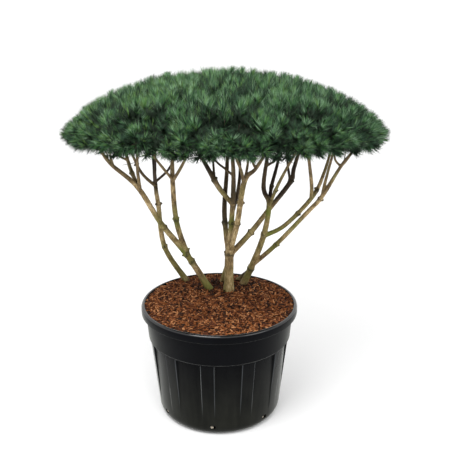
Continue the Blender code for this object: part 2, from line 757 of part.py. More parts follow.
def even_directions(count, lowest):
    """Directions spread evenly over a ball down to a height, each turned a little at random."""
    golden = math.pi * (3.0 - math.sqrt(5.0))
    start = random.uniform(0.0, math.tau)
    for index in range(count):
        height = 1.0 - (1.0 - lowest) * (index + 0.5) / count
        level = math.sqrt(1.0 - height * height)
        angle = start + index * golden + random.uniform(-0.15, 0.15)
        yield Vector((level * math.cos(angle), level * math.sin(angle), height))


def make_stem_and_twigs(space, limb):
    """The mass's own stem, on from its limb's tip, and the twigs that fork from it under the core."""
    path = limb_paths[limb]
    tip, radius = path[-1]
    heading = (tip - path[-2][0]).normalized()
    foot = tip + heading * FIT_GAP
    collar = foot + heading * 0.012
    middle = space_middle(space)
    inside = Vector((*collar.xy.lerp(middle.xy, 0.30), underside_height(*collar.xy) + CORE_LIFT + 0.035))
    meshes = [tube_mesh([(foot, radius * 0.96), (collar, radius * 0.92), (inside, radius * 0.7)])]
    fork = collar.lerp(inside, 0.25)
    first = random.uniform(0.0, math.tau)
    for index in range(3):
        angle = first + index * math.tau / 3 + random.uniform(-0.3, 0.3)
        direction = Vector((math.cos(angle), math.sin(angle)))
        reach = min(space.reach(direction)[0] * 0.6, 0.13)
        place = collar.xy.lerp(middle.xy, 0.5) + direction * reach
        if space.room(*place) < 0.02:
            continue
        end = Vector((*place, underside_height(*place) + CORE_LIFT + 0.02))
        bend = fork.lerp(end, 0.5) - Vector((0, 0, 0.008))
        path = [(fork, TWIG_THICKNESS), (bend, TWIG_THICKNESS * 0.8), (end, TWIG_THICKNESS * 0.6)]
        samples = [fork.lerp(bend, 0.5), bend, bend.lerp(end, 0.5), end]
        if clear_of_limbs(samples):
            meshes.append(tube_mesh(path, resolution=0))
    return meshes


def edge_directions(centre):
    """Level directions fanned out from a mass over the crown's edge."""
    outward = outward_from_crown(*centre)
    middle = math.atan2(outward.y, outward.x)
    for index in range(EDGE_SPRAYS):
        angle = middle + EDGE_FAN * ((index + 0.5) / EDGE_SPRAYS - 0.5)
        yield Vector((math.cos(angle), math.sin(angle), 0.0))


def make_mass(name, limb, space, directions):
    mass = add_object(name, make_core(space), NEEDLES)
    pieces = make_stem_and_twigs(space, limb)
    sprays = [place_spray(space, normal) for normal in directions]
    pieces += [mesh for mesh in sprays if mesh]
    additions = new_collection(name + "_additions")
    for mesh in pieces:
        add_object("addition", mesh, collection=additions)
    apply_boolean(mass, "UNION", collection=additions, solver=UNION_SOLVER)
    for addition in list(additions.objects):
        discard(addition)
    bpy.data.collections.remove(additions)
    keep_outer_skin(mass.data)
    mass.data.materials.clear()
    mass.data.materials.append(NEEDLES)


def make_masses():
    plan = plan_masses()
    for index, (name, limb, centre) in enumerate(plan):
        others = [other for _, _, other in plan if other is not centre]
        if index < RIM_MASSES:
            directions = [*edge_directions(centre), *even_directions(RIM_SPRAYS, RIM_LOWEST)]
        else:
            directions = even_directions(INNER_SPRAYS, INNER_LOWEST)
        make_mass(name, limb, Space(centre, others), directions)


make_pot()
make_root_ball()
bark_mulch = make_mulch()
make_limbs(bark_mulch)
bark_mulch.data.materials.clear()
bark_mulch.data.materials.append(MULCH_BARK)
make_masses()
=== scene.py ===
# %% [markdown]
# # A Scots pine in a nursery pot
# The plant is a Scots pine grown on several bare stems, its crown clipped to one wide low dome, in a
# round ribbed pot of black plastic with a bed of bark chips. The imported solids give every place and
# size. This lesson dresses them: pot and bed first, then the bark, then twigs and needles.

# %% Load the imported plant
import math
import random

import bmesh
import bpy
import numpy as np
from mathutils import Matrix, Vector, noise


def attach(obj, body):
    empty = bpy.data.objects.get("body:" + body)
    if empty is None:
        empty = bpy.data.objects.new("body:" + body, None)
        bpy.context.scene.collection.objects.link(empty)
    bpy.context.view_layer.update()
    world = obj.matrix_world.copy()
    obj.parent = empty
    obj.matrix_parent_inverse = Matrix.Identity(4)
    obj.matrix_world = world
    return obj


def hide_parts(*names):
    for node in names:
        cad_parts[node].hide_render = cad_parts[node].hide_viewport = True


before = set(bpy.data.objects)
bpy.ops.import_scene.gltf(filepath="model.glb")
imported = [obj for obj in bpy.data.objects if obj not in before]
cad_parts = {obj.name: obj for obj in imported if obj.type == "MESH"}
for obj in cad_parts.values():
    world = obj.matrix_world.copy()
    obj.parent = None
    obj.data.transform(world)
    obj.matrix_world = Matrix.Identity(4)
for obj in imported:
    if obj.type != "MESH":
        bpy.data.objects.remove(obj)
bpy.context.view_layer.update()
random.seed(11)
dice = np.random.default_rng(11)

# %% [markdown]
# Operators act on whatever is selected, and the imported nodes arrive selected. So each piece starts
# from an empty selection, and ends by riding on the plant's one body, with its finish, while the imported
# solids that it stands for are hidden.


# %% Helpers for selecting and finishing a piece
def deselect_all():
    if bpy.context.object and bpy.context.object.mode != "OBJECT":
        bpy.ops.object.mode_set(mode="OBJECT")
    bpy.ops.object.select_all(action="DESELECT")


def select_only(piece):
    deselect_all()
    piece.select_set(True)
    bpy.context.view_layer.objects.active = piece


def apply_modifier(piece, kind, **settings):
    select_only(piece)
    modifier = piece.modifiers.new(kind.lower(), kind)
    for name, value in settings.items():
        setattr(modifier, name, value)
    bpy.ops.object.modifier_apply(modifier=modifier.name)


def finish_piece(piece, finish, slot, *nodes):
    """Give a piece its material, let it ride on the plant, and hide the imported solids it replaces."""
    piece.data.materials.clear()
    piece.data.materials.append(finish.material)
    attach(piece, "root")
    if nodes:
        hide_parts(*nodes)
    piece.data.calc_loop_triangles()
    print(piece.name, len(piece.data.loop_triangles), "triangles")


# %% [markdown]
# A finish is a small network of shader nodes. Written with plain arithmetic it stays readable, so one
# small class wraps a node's output and turns +, - and * into Math nodes, and one method makes every
# other kind of node from its type, its settings and what goes into its sockets.


# %% Shader maths as plain expressions
class Value:
    """A node's output that takes part in arithmetic."""

    def __init__(self, finish, output):
        self.finish = finish
        self.output = output

    def __add__(self, other):
        return self.finish.maths("ADD", self, other)

    def __sub__(self, other):
        return self.finish.maths("SUBTRACT", self, other)

    def __rsub__(self, other):
        return self.finish.maths("SUBTRACT", other, self)

    def __mul__(self, other):
        return self.finish.maths("MULTIPLY", self, other)

    __radd__ = __add__


class Finish:
    """A material whose shader sockets are set from numbers, colours or expressions."""

    def __init__(self, name, **values):
        self.material = bpy.data.materials.new(name)
        self.material.use_nodes = True
        self.tree = self.material.node_tree
        self.shader = self.tree.nodes["Principled BSDF"]
        for socket, value in values.items():
            self.set(socket.replace("_", " ").title().replace("Ior", "IOR"), value)

    def link(self, socket, value):
        if isinstance(value, Value):
            self.tree.links.new(value.output, socket)
        elif isinstance(value, tuple) and len(value) == 3 and len(socket.default_value) == 4:
            socket.default_value = (*value, 1.0)
        else:
            socket.default_value = value

    def set(self, socket, value):
        self.link(self.shader.inputs[socket], value)

    def node(self, kind, settings, inputs, output=0):
        """Make any node: its type, its settings, what enters it, and which output is wanted."""
        made = self.tree.nodes.new(kind)
        for name, value in settings.items():
            if name == "stops":
                ramp = made.color_ramp
                while len(ramp.elements) < len(value):
                    ramp.elements.new(1.0)
                for element, (place, colour) in zip(ramp.elements, value):
                    element.position = place
                    element.color = (*colour, 1.0)
            else:
                setattr(made, name, value)
        for name, value in inputs.items():
            self.link(made.inputs[name], value)
        return Value(self, made.outputs[output])

    def maths(self, operation, first, second=0.0):
        return self.node("ShaderNodeMath", {"operation": operation}, {0: first, 1: second})

    def parts(self, vector):
        """The three numbers of a vector."""
        split = self.node("ShaderNodeSeparateXYZ", {}, {"Vector": vector}).output.node
        return [Value(self, output) for output in split.outputs]

    def attribute(self, name):
        return self.node("ShaderNodeAttribute", {"attribute_name": name}, {}, "Vector")

    def stretch(self, spot, scale):
        return self.node("ShaderNodeMapping", {}, {"Vector": spot, "Scale": scale})

    def place(self, scale=(1.0, 1.0, 1.0)):
        """Where a point lies on the piece, in metres, with each axis stretched."""
        return self.stretch(self.node("ShaderNodeTexCoord", {}, {}, "Object"), scale)

    def noise(self, spot, scale, detail=3.0, roughness=0.55):
        inputs = {"Vector": spot, "Scale": scale, "Detail": detail, "Roughness": roughness}
        return self.node("ShaderNodeTexNoise", {}, inputs)

    def ramp(self, value, *stops):
        return self.node("ShaderNodeValToRGB", {"stops": stops}, {"Fac": value})

    def blend(self, part, first, second):
        """Mix two colours."""
        return self.node("ShaderNodeMix", {"data_type": "RGBA"}, {0: part, 6: first, 7: second}, 2)

    def fade(self, value, first, last):
        """0 where a value is at the first number, rising to 1 at the last."""
        inputs = {"Value": value, "From Min": first, "From Max": last}
        return self.node("ShaderNodeMapRange", {}, inputs)

    def relief(self, height, distance, strength=1.0):
        inputs = {"Height": height, "Distance": distance, "Strength": strength}
        self.set("Normal", self.node("ShaderNodeBump", {}, inputs, "Normal"))


def speckled(name, roughness, grain, *stops):
    """A finish that runs through some colours by a fine noise, and the noise itself."""
    finish = Finish(name, roughness=roughness)
    specks = finish.noise(finish.place(), *grain)
    finish.set("Base Color", finish.ramp(specks, *stops))
    return finish, specks


# %% [markdown]
# The pot is a turned shape. It is drawn the way a potter would throw it: one ring of points at the foot
# is extruded upwards and resized again and again along the outside, rolled over the rim and brought
# down the inside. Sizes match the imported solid, with rounder corners.

# %% Pot: the turned body
POT_HEIGHT = 0.597
RIM_RADIUS = 0.408
MOUTH_RADIUS = 0.3905
THROAT = (0.371, 0.560)
BAND_TOP_RADIUS = 0.385
BAND_FOOT_RADIUS = 0.3745
BODY_TOP_RADIUS = 0.3665
BODY_FOOT_RADIUS = 0.3269
UNDERSIDE_RADIUS = 0.290
BODY_TOP = 0.417
RIM_FOOT = 0.5545
BODY_FOOT = 0.050
INNER_TOP_RADIUS = 0.3410
INNER_FOOT_RADIUS = 0.308
INNER_FOOT = 0.032
FLOOR_RADIUS = 0.294
FLOOR_HEIGHT = 0.012
BAND_ROUND = 0.006          # radius of the band's lower edge
BAND_STEP = 0.010
UNDER_RIM_ROUND = 0.004
RIM_ROUND = 0.012
MOUTH_ROUND = (0.003, 0.004)
MOUTH_DEPTH = 0.010
LEDGE_ROUND = 0.0007
WALL_RINGS = 13
WALL_MIDDLE = 0.004         # a point farther out than this from the inner wall is on the outer one
SHARP_EDGE = math.radians(28)
PANEL_COUNT = 11
PANEL_COLUMNS = 32
PANEL_TOP = 0.4115
PANEL_FOOT = 0.080
PANEL_DEPTH = 0.014
PANEL_HALF = math.radians(10.2)
PANEL_EDGE = math.radians(0.9)
PANEL_PHASE = math.radians(-82.5)


def rounded(centre, radii, first, last, steps):
    """Points of a quarter round in the plane of radius and height."""
    for index in range(steps + 1):
        angle = math.radians(first + (last - first) * index / steps)
        yield (centre[0] + radii[0] * math.cos(angle), centre[1] + radii[1] * math.sin(angle))


def body_radius(height):
    part = (height - BODY_FOOT) / (BODY_TOP - BODY_FOOT)
    return BODY_FOOT_RADIUS + part * (BODY_TOP_RADIUS - BODY_FOOT_RADIUS)


corner = (BODY_FOOT_RADIUS - UNDERSIDE_RADIUS, BODY_FOOT)
outline = list(rounded((UNDERSIDE_RADIUS, BODY_FOOT), corner, -90, 0, 7))
wall_heights = [*np.linspace(PANEL_FOOT, PANEL_TOP - 0.010, WALL_RINGS), PANEL_TOP, PANEL_TOP + LEDGE_ROUND]
outline += [(body_radius(height), height) for height in (*wall_heights, BODY_TOP)]
outline += rounded((BAND_FOOT_RADIUS - BAND_ROUND, BODY_TOP + BAND_STEP), (BAND_ROUND, BAND_ROUND), -80, 0, 4)
for radius, height, first, last in (
        (BAND_TOP_RADIUS + UNDER_RIM_ROUND, RIM_FOOT - UNDER_RIM_ROUND, 180, 90),
        (RIM_RADIUS - UNDER_RIM_ROUND, RIM_FOOT + UNDER_RIM_ROUND, -90, 0)):
    outline += rounded((radius, height), (UNDER_RIM_ROUND, UNDER_RIM_ROUND), first, last, 3)
outline += rounded((RIM_RADIUS - RIM_ROUND, POT_HEIGHT - RIM_ROUND), (RIM_ROUND, RIM_ROUND), 0, 90, 8)
outline += rounded((MOUTH_RADIUS + MOUTH_ROUND[0], POT_HEIGHT - MOUTH_ROUND[1]), MOUTH_ROUND, 90, 180, 4)
outline += [(MOUTH_RADIUS, POT_HEIGHT - MOUTH_DEPTH), THROAT, (INNER_TOP_RADIUS, BODY_TOP)]
outline += [(INNER_FOOT_RADIUS, INNER_FOOT), (FLOOR_RADIUS, FLOOR_HEIGHT)]


def throw(name, outline, columns):
    """Draw a turned solid by extruding one ring of points along an outline."""
    deselect_all()
    radius, height = outline[0]
    bpy.ops.mesh.primitive_circle_add(
        vertices=columns, radius=radius, location=(0, 0, height), fill_type="NOTHING")
    piece = bpy.context.object
    piece.name = name
    bpy.ops.object.transform_apply(location=True, rotation=True, scale=True)
    bpy.ops.object.mode_set(mode="EDIT")
    bpy.ops.mesh.select_all(action="SELECT")
    bpy.ops.mesh.edge_face_add()
    bpy.ops.mesh.select_mode(type="EDGE")
    for (old_radius, old_height), (new_radius, new_height) in zip(outline, outline[1:]):
        bpy.ops.mesh.extrude_edges_move(
            TRANSFORM_OT_translate={"value": (0, 0, new_height - old_height)})
        ratio = new_radius / old_radius
        bpy.ops.transform.resize(value=(ratio, ratio, 1), center_override=(0, 0, new_height))
    bpy.ops.mesh.edge_face_add()
    bpy.ops.mesh.select_all(action="SELECT")
    bpy.ops.mesh.normals_make_consistent(inside=False)
    bpy.ops.object.mode_set(mode="OBJECT")
    return piece


pot = throw("nursery_pot", outline, PANEL_COUNT * PANEL_COLUMNS)
print("pot rings", len(outline))

# %% [markdown]
# Eleven broad panels sink into the body between raised flutes. They are deepest at the top, where each
# ends in a ledge under the plain band, and fade out towards the foot. The columns of points are first
# drawn together at the panels' edges, so that few are wasted on the plain stretches.


# %% Pot: sunk panels and flutes
def panel_place(column):
    """The angle of a column of points from its panel's centre."""
    pitch = math.tau / PANEL_COUNT
    edge = PANEL_HALF + PANEL_EDGE
    marks = (0, 12, 17, 27, PANEL_COLUMNS)      # the columns where floor, edge, flute and edge end
    places = (-PANEL_HALF, PANEL_HALF, edge, pitch - edge, pitch - PANEL_HALF)
    return float(np.interp(column, marks, places))


def recess(angle):
    """1 on a panel's floor and 0 on a flute."""
    part = min(1.0, max(0.0, (PANEL_HALF + PANEL_EDGE - abs(angle)) / PANEL_EDGE))
    return part * part * (3 - 2 * part)


for vertex in pot.data.vertices:
    x, y, z = vertex.co
    radius = math.hypot(x, y)
    column = round(math.atan2(y, x) / (math.tau / (PANEL_COUNT * PANEL_COLUMNS)))
    panel, within = divmod(column % (PANEL_COUNT * PANEL_COLUMNS), PANEL_COLUMNS)
    angle = panel_place(within)
    inner_wall = INNER_FOOT_RADIUS + (INNER_TOP_RADIUS - INNER_FOOT_RADIUS) * z / BODY_TOP
    if radius > inner_wall + WALL_MIDDLE and PANEL_FOOT < z < PANEL_TOP + LEDGE_ROUND / 2:
        depth = PANEL_DEPTH * (z - PANEL_FOOT) / (PANEL_TOP - PANEL_FOOT)
        centred = (angle + math.tau / PANEL_COUNT / 2) % (math.tau / PANEL_COUNT) - math.tau / PANEL_COUNT / 2
        radius -= depth * recess(centred)
    turn = PANEL_PHASE + panel * math.tau / PANEL_COUNT + angle
    vertex.co = (radius * math.cos(turn), radius * math.sin(turn), z)

# %% [markdown]
# The pot is moulded polythene, nearly black. It isn't one flat tone: it greys towards the foot, the skin has
# a fine orange-peel grain, the gloss comes and goes, and a thin painted highlight runs down each flute's
# corner. Height, angle and slow noise move the colour and the roughness, fine noise drives a shallow bump,
# and the crest of the rim, which hands have polished, wears a clear coat.

# %% Finish: black pot plastic
PALER_FOOT_SPAN = (0.43, 0.06)            # heights where the greying towards the foot begins, and is full
EDGE_HIGHLIGHT_SPAN = (0.11, 0.20)           # and the same for the painted highlight on the flutes' corners
EDGE_HIGHLIGHT_HALF_WIDTH = math.radians(0.42)
EDGE_HIGHLIGHT_COLOUR = (0.090, 0.098, 0.105)
CREST = (POT_HEIGHT - 0.0085, POT_HEIGHT - 0.0060)      # and for the clear coat

pot_plastic = Finish(
    "pot_plastic", ior=1.5, specular_ior_level=0.04, sheen_weight=0.40, sheen_roughness=0.30,
    sheen_tint=(0.92, 0.95, 0.88), coat_roughness=0.12)
spot = pot_plastic.place()
across, inward, above = pot_plastic.parts(spot)
cloud = pot_plastic.noise(spot, 7.0, 4.0)
streak = pot_plastic.noise(pot_plastic.place((14.0, 14.0, 1.2)), 2.2, 3.0)
grain = pot_plastic.noise(spot, 420.0, 2.0)
low_down = pot_plastic.fade(above, *PALER_FOOT_SPAN)
black = pot_plastic.ramp(
    cloud * 0.6 + streak * 0.4, (0.30, (0.0004, 0.0005, 0.0012)), (0.70, (0.0016, 0.0018, 0.0030)))
paler_foot = pot_plastic.ramp(
    cloud * 0.5 + streak * 0.5, (0.35, (0.0050, 0.0054, 0.0044)), (0.68, (0.0160, 0.0165, 0.0130)))
panel_turn = pot_plastic.maths("ARCTAN2", inward, across) * (PANEL_COUNT / math.tau)
panel_turn = panel_turn + (PANEL_COUNT + 0.5 - PANEL_PHASE * PANEL_COUNT / math.tau)
from_panel = (pot_plastic.maths("FRACT", panel_turn) - 0.5) * (math.tau / PANEL_COUNT)
from_corner = pot_plastic.maths("ABSOLUTE", from_panel) - (PANEL_HALF + PANEL_EDGE)
# painted highlight: a thin pale line down each flute's corner, where the edge would catch the light
edge_highlight = pot_plastic.fade(pot_plastic.maths("ABSOLUTE", from_corner), EDGE_HIGHLIGHT_HALF_WIDTH, 0.0)
edge_highlight = edge_highlight * pot_plastic.fade(above, *EDGE_HIGHLIGHT_SPAN) * pot_plastic.fade(above, PANEL_TOP + 0.003, PANEL_TOP)
plastic = pot_plastic.blend(low_down, black, paler_foot)
pot_plastic.set("Base Color", pot_plastic.blend(edge_highlight * (0.35 + streak * 0.6), plastic, EDGE_HIGHLIGHT_COLOUR))
on_body = pot_plastic.fade(above, BODY_TOP + 0.004, BODY_TOP)
pot_plastic.set("Roughness", 0.42 - on_body * 0.26 + low_down * 0.06 + cloud * 0.12 + streak * 0.10)
pot_plastic.set("Coat Weight", pot_plastic.fade(above, *CREST))
pot_plastic.relief(grain * 0.6 + cloud * 0.4, 0.0004, 0.35)

# %% [markdown]
# Water leaves by seven slots in the rounded corner at the foot. One rounded block is modelled, copied
# round the pot and joined, and one Boolean cuts them all.

# %% Pot: drain slots
DRAIN_COUNT = 7
DRAIN_PHASE = math.radians(-95.5)
DRAIN_SIZE = (0.090, 0.029, 0.021)
DRAIN_PLACE = (0.305, 0.0, 0.045)
DRAIN_ROUND = 0.0045


def repeat_at_slots(mesh):
    """Replace a mesh by a copy of it at each slot."""
    copies = bmesh.new()
    for index in range(DRAIN_COUNT):
        copy = mesh.copy()
        copy.transform(Matrix.Rotation(DRAIN_PHASE + index * math.tau / DRAIN_COUNT, 4, "Z"))
        copies.from_mesh(copy)
    copies.to_mesh(mesh)
    copies.free()


deselect_all()
bpy.ops.mesh.primitive_cube_add(size=1)
cutter = bpy.context.object
cutter.data.transform(Matrix.Diagonal((*DRAIN_SIZE, 1.0)))
bpy.ops.object.mode_set(mode="EDIT")
bpy.ops.mesh.select_all(action="SELECT")
bpy.ops.mesh.bevel(offset=DRAIN_ROUND, segments=3)
bpy.ops.object.mode_set(mode="OBJECT")
cutter.data.transform(Matrix.Translation(DRAIN_PLACE))
repeat_at_slots(cutter.data)
apply_modifier(pot, "BOOLEAN", operation="DIFFERENCE", object=cutter, solver="EXACT")
bpy.data.objects.remove(cutter)
select_only(pot)
bpy.ops.object.shade_smooth_by_angle(angle=SHARP_EDGE)
finish_piece(pot, pot_plastic, "pot_plastic", "pot")

# %% [markdown]
# Each slot holds a pale lump in its lower corner: painted light, standing for the bright floor that shows
# through the slot. One ball is squashed and dented by noise, and copied into every slot.

# %% Pot: painted light in the drain slots
SLOT_LIGHT_PLACE = (0.3150, -0.0065, 0.0405)
SLOT_LIGHT_SIZE = (0.0060, 0.0085, 0.0068)
SLOT_LIGHT_DENTS = (0.30, 1.7)    # how deep they are, and how close together

deselect_all()
bpy.ops.mesh.primitive_ico_sphere_add(subdivisions=3, radius=1.0)
slot_light = bpy.context.object
slot_light.name = "drain_painted_light"
for vertex in slot_light.data.vertices:
    vertex.co *= 1.0 + SLOT_LIGHT_DENTS[0] * noise.noise(vertex.co * SLOT_LIGHT_DENTS[1])
slot_light.data.transform(Matrix.Translation(SLOT_LIGHT_PLACE) @ Matrix.Diagonal((*SLOT_LIGHT_SIZE, 1.0)))
repeat_at_slots(slot_light.data)
slot_light.data.shade_smooth()
# painted light: the lump's pale colour stands for the lit floor seen through the slot
slot_light_finish = Finish("drain_painted_light", base_color=(0.62, 0.55, 0.44), roughness=0.9)
finish_piece(slot_light, slot_light_finish, "root_ball_soil")

# %% [markdown]
# Under the chips lies the root ball, which nobody sees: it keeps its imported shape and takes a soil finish
# of dark crumbs. The chips' own bed is one more turned shape, with its top roughened by noise, so that
# nothing bright shows between the chips.

# %% Finish: soil, and the bed of the mulch
MULCH_RADIUS = 0.3899
MULCH_EDGE_HEIGHT = 0.588
MULCH_RISE = 0.017
MULCH_FOOT = [(0.3660, 0.545), (0.3704, 0.560)]
BED_SINK = 0.003            # how far the bed lies under the tops of the chips
BED_RELIEF = 0.004
BED_LUMPS = 60              # of the relief, in a metre
BED_SETTLE = 0.0015         # how much lower the relief lies
BED_RADII = np.linspace(MULCH_RADIUS - 0.001, 0.006, 40)
BED_COLUMNS = 120


def mulch_height(x, y):
    return MULCH_EDGE_HEIGHT + MULCH_RISE * (1.0 - (x * x + y * y) / MULCH_RADIUS ** 2)


soil, crumbs = speckled(
    "root_ball_soil", 0.95, (90.0, 5.0, 0.7), (0.35, (0.016, 0.010, 0.006)), (0.70, (0.085, 0.052, 0.030)))
soil.relief(crumbs, 0.004)
soil_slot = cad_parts["root_ball"].material_slots[0]
soil_slot.link = "OBJECT"
soil_slot.material = soil.material

bed_finish, shreds = speckled(
    "mulch_bed", 0.92, (120.0, 4.0, 0.65),
    (0.36, (0.018, 0.006, 0.003)), (0.52, (0.070, 0.022, 0.010)), (0.70, (0.150, 0.052, 0.022)))
bed_finish.relief(shreds, 0.004)

bed_outline = MULCH_FOOT + [(radius, mulch_height(radius, 0) - BED_SINK) for radius in BED_RADII]
bed = throw("mulch_bed", bed_outline, BED_COLUMNS)
for vertex in bed.data.vertices:
    if vertex.co.z > MULCH_EDGE_HEIGHT - 0.010:
        vertex.co.z += BED_RELIEF * noise.noise(vertex.co * BED_LUMPS) - BED_SETTLE
bed.data.shade_smooth()
finish_piece(bed, bed_finish, "mulch_bark", "bark_mulch")

# %% [markdown]
# Thousands of small things are quickest as arrays: the points of one shape are worked out for every copy
# at once with numpy, and the whole lot becomes one mesh. This cell turns points and triangles into a
# piece, and gives each copy its own frame of three directions.


# %% Helpers for joined arrays of small shapes
def piece_from_arrays(name, points, triangles):
    mesh = bpy.data.meshes.new(name)
    mesh.vertices.add(len(points))
    mesh.vertices.foreach_set("co", np.asarray(points, dtype=np.float32).ravel())
    mesh.loops.add(triangles.size)
    mesh.loops.foreach_set("vertex_index", np.asarray(triangles, dtype=np.int32).ravel())
    mesh.polygons.add(len(triangles))
    mesh.polygons.foreach_set("loop_start", np.arange(0, triangles.size, 3, dtype=np.int32))
    mesh.update(calc_edges=True)
    piece = bpy.data.objects.new(name, mesh)
    bpy.context.scene.collection.objects.link(piece)
    return piece


def unit(vectors):
    return vectors / np.maximum(np.linalg.norm(vectors, axis=-1, keepdims=True), 1e-9)


def side_directions(along):
    """Two directions square to each given one."""
    helper = np.where(np.abs(along[:, 2:3]) > 0.9, [[1.0, 0.0, 0.0]], [[0.0, 0.0, 1.0]])
    first = unit(np.cross(along, helper))
    return first, np.cross(along, first)


# %% [markdown]
# The chips are shredded pine bark: flat splinters one to five centimetres long, lying every way, from
# nearly black through red-brown to orange, with a few pale ones. Each is a thin block with pinched ends.
# Every tone is its own joined piece in one plain colour.

# %% Bark chips
CHIP_TONES = {
    "chips_dark": ((0.026, 0.010, 0.005), 0.24),
    "chips_brown": ((0.105, 0.031, 0.011), 0.30),
    "chips_rust": ((0.235, 0.076, 0.021), 0.31),
    "chips_tan": ((0.450, 0.195, 0.078), 0.15),
}
SHADE_PATCH_CENTRE = (0.035, 0.200)     # painted shade: dark chips massed between the stems, where the stems' shadow falls
SHADE_PATCH_SPREAD = (0.085, 0.050)
SHADE_PATCH_SHARE = 5                   # one dark chip in this many lies there
SHADE_PATCH_LIFT = 0.0025
CHIP_COUNT = 7000
CHIP_LIFT = (-0.001, 0.006)
CHIP_TILT = 0.28
CHIP_ROLL = 0.35
BED_EDGE = 0.006
CHIP_HALF_LENGTH = (0.004, 0.026)
CHIP_LENGTH_SPREAD = (5.0, 0.0023)      # shape and scale of the gamma curve that its length is drawn from
CHIP_LEVEL_EDGE = 0.02                  # chips this near the pot's wall lie flatter
CHIP_HALF_WIDTH = (0.0022, 0.0064)
CHIP_HALF_THICKNESS = (0.0006, 0.0016)
CHIP_SHAPE = ((-1.0, -0.35), (-1.0, 0.35), (0.1, 1.0), (1.0, 0.25), (0.9, -0.45), (-0.1, -1.0))
CHIP_CORNERS = np.array([(x, y, z) for z in (-1, 1) for x, y in CHIP_SHAPE])


def chip_triangles():
    top = [(6, 7 + index, 8 + index) for index in range(4)]
    bottom = [(0, 2 + index, 1 + index) for index in range(4)]
    sides = []
    for index in range(6):
        after = (index + 1) % 6
        sides += [(index, after, after + 6), (index, after + 6, index + 6)]
    return np.array(top + bottom + sides)[:, ::-1]


def make_chips(name, count):
    radius = (MULCH_RADIUS - BED_EDGE) * np.sqrt(dice.uniform(0, 1, count))
    angle = dice.uniform(0, math.tau, count)
    centre = np.stack([radius * np.cos(angle), radius * np.sin(angle), np.zeros(count)], axis=1)
    # painted shade: a share of the dark chips is gathered between the stems, where their shadow falls
    if name == "chips_dark":
        shaded_count = count // SHADE_PATCH_SHARE
        centre[:shaded_count, :2] = dice.normal(SHADE_PATCH_CENTRE, SHADE_PATCH_SPREAD, (shaded_count, 2))
        radius[:shaded_count] = np.linalg.norm(centre[:shaded_count, :2], axis=1)
        centre[:shaded_count, 2] = SHADE_PATCH_LIFT
    centre[:, 2] += MULCH_EDGE_HEIGHT + MULCH_RISE * (1 - (radius / MULCH_RADIUS) ** 2)
    centre[:, 2] += dice.uniform(*CHIP_LIFT, count)
    half_size = np.stack([
        dice.gamma(*CHIP_LENGTH_SPREAD, count).clip(*CHIP_HALF_LENGTH),
        dice.uniform(*CHIP_HALF_WIDTH, count),
        dice.uniform(*CHIP_HALF_THICKNESS, count)], axis=1)
    heading = dice.uniform(0, math.tau, count)
    tilt = dice.normal(0, CHIP_TILT, count) * np.clip((MULCH_RADIUS - radius) / CHIP_LEVEL_EDGE, 0.2, 1.0)
    along = np.stack([np.cos(heading) * np.cos(tilt), np.sin(heading) * np.cos(tilt), np.sin(tilt)], axis=1)
    rolls = [dice.normal(0, CHIP_ROLL, count) for _ in range(2)]
    up = unit(np.stack([*rolls, np.ones(count)], axis=1))
    across = unit(np.cross(up, along))
    up = np.cross(along, across)
    axes = np.stack([along, across, up], axis=1) * half_size[:, :, None]
    points = centre[:, None, :] + np.einsum("ck,nkj->ncj", CHIP_CORNERS, axes)
    triangles = chip_triangles()[None] + 12 * np.arange(count)[:, None, None]
    return piece_from_arrays(name, points.reshape(-1, 3), triangles.reshape(-1, 3))


for tone, (colour, share) in CHIP_TONES.items():
    chip_finish = Finish(tone, base_color=colour, roughness=0.85, specular_ior_level=0.2)
    finish_piece(make_chips(tone, int(CHIP_COUNT * share)), chip_finish, "mulch_bark")

# %% [markdown]
# Bark on these stems is thin and smooth, not yet plated: olive-tan, with green algae in places. The old
# whorls where side shoots were cut away are nearly black, and upper limbs in the crown's shadow are given
# painted shade, purple-brown to nearly black. The pattern has to follow each limb, so the mesh carries it:
# one attribute holds where a point lies on its limb, and another how much knot, green and painted shade it
# has.

# %% Finish: bark
bark = Finish("stem_bark", roughness=0.72, specular_ior_level=0.25)
along = bark.attribute("bark_place")
knot, green, shade = bark.parts(bark.attribute("bark_tint"))
fibre = bark.noise(bark.stretch(along, (1.0, 1.0, 0.16)), 300.0, 4.0)
patch = bark.noise(bark.stretch(along, (1.0, 1.0, 0.5)), 38.0, 4.0)
skin = bark.ramp(
    fibre * 0.45 + patch * 0.55,
    (0.36, (0.046, 0.029, 0.013)), (0.455, (0.180, 0.122, 0.054)), (0.54, (0.318, 0.226, 0.102)),
    (0.63, (0.570, 0.445, 0.255)))
skin = bark.blend(green * (patch * 1.7), skin, (0.125, 0.145, 0.022))
# painted shade: limbs in the crown's shadow turn purple-brown to nearly black
skin = bark.blend(shade * (0.72 + patch * 0.5), skin, (0.022, 0.013, 0.011))
skin = bark.blend(knot * 0.86, skin, (0.030, 0.029, 0.012))
bark.set("Base Color", skin)
bark.relief(fibre * 0.6 + patch * 0.4, 0.0020, 0.9)

# %% [markdown]
# The limbs are grown again from the sizes that the solids were made from: each row gives a limb's parent,
# where it leaves it, the knees it passes, its tip's place under the crown and its widths. A smooth curve
# runs through the points, and a child starts at its parent's axis, so that a skin drawn round them all
# will close over the fork as living wood does.

# %% Limbs: where they run
CROWN_CENTRE = np.array((0.032, 0.140))
CROWN_HALF = np.array((0.818, 0.700))
CROWN_EDGE_HEIGHT = 1.488
CROWN_RISE = 0.298
CROWN_ROUNDNESS = 0.72
UNDERSIDE_HEIGHT = 1.385
UNDERSIDE_FRONT_RISE = 0.065
UNDERSIDE_HOLLOW = 0.035


def crown_ratio(x, y):
    """0 over the crown's centre and 1 at its edge."""
    return np.hypot((x - CROWN_CENTRE[0]) / CROWN_HALF[0], (y - CROWN_CENTRE[1]) / CROWN_HALF[1])


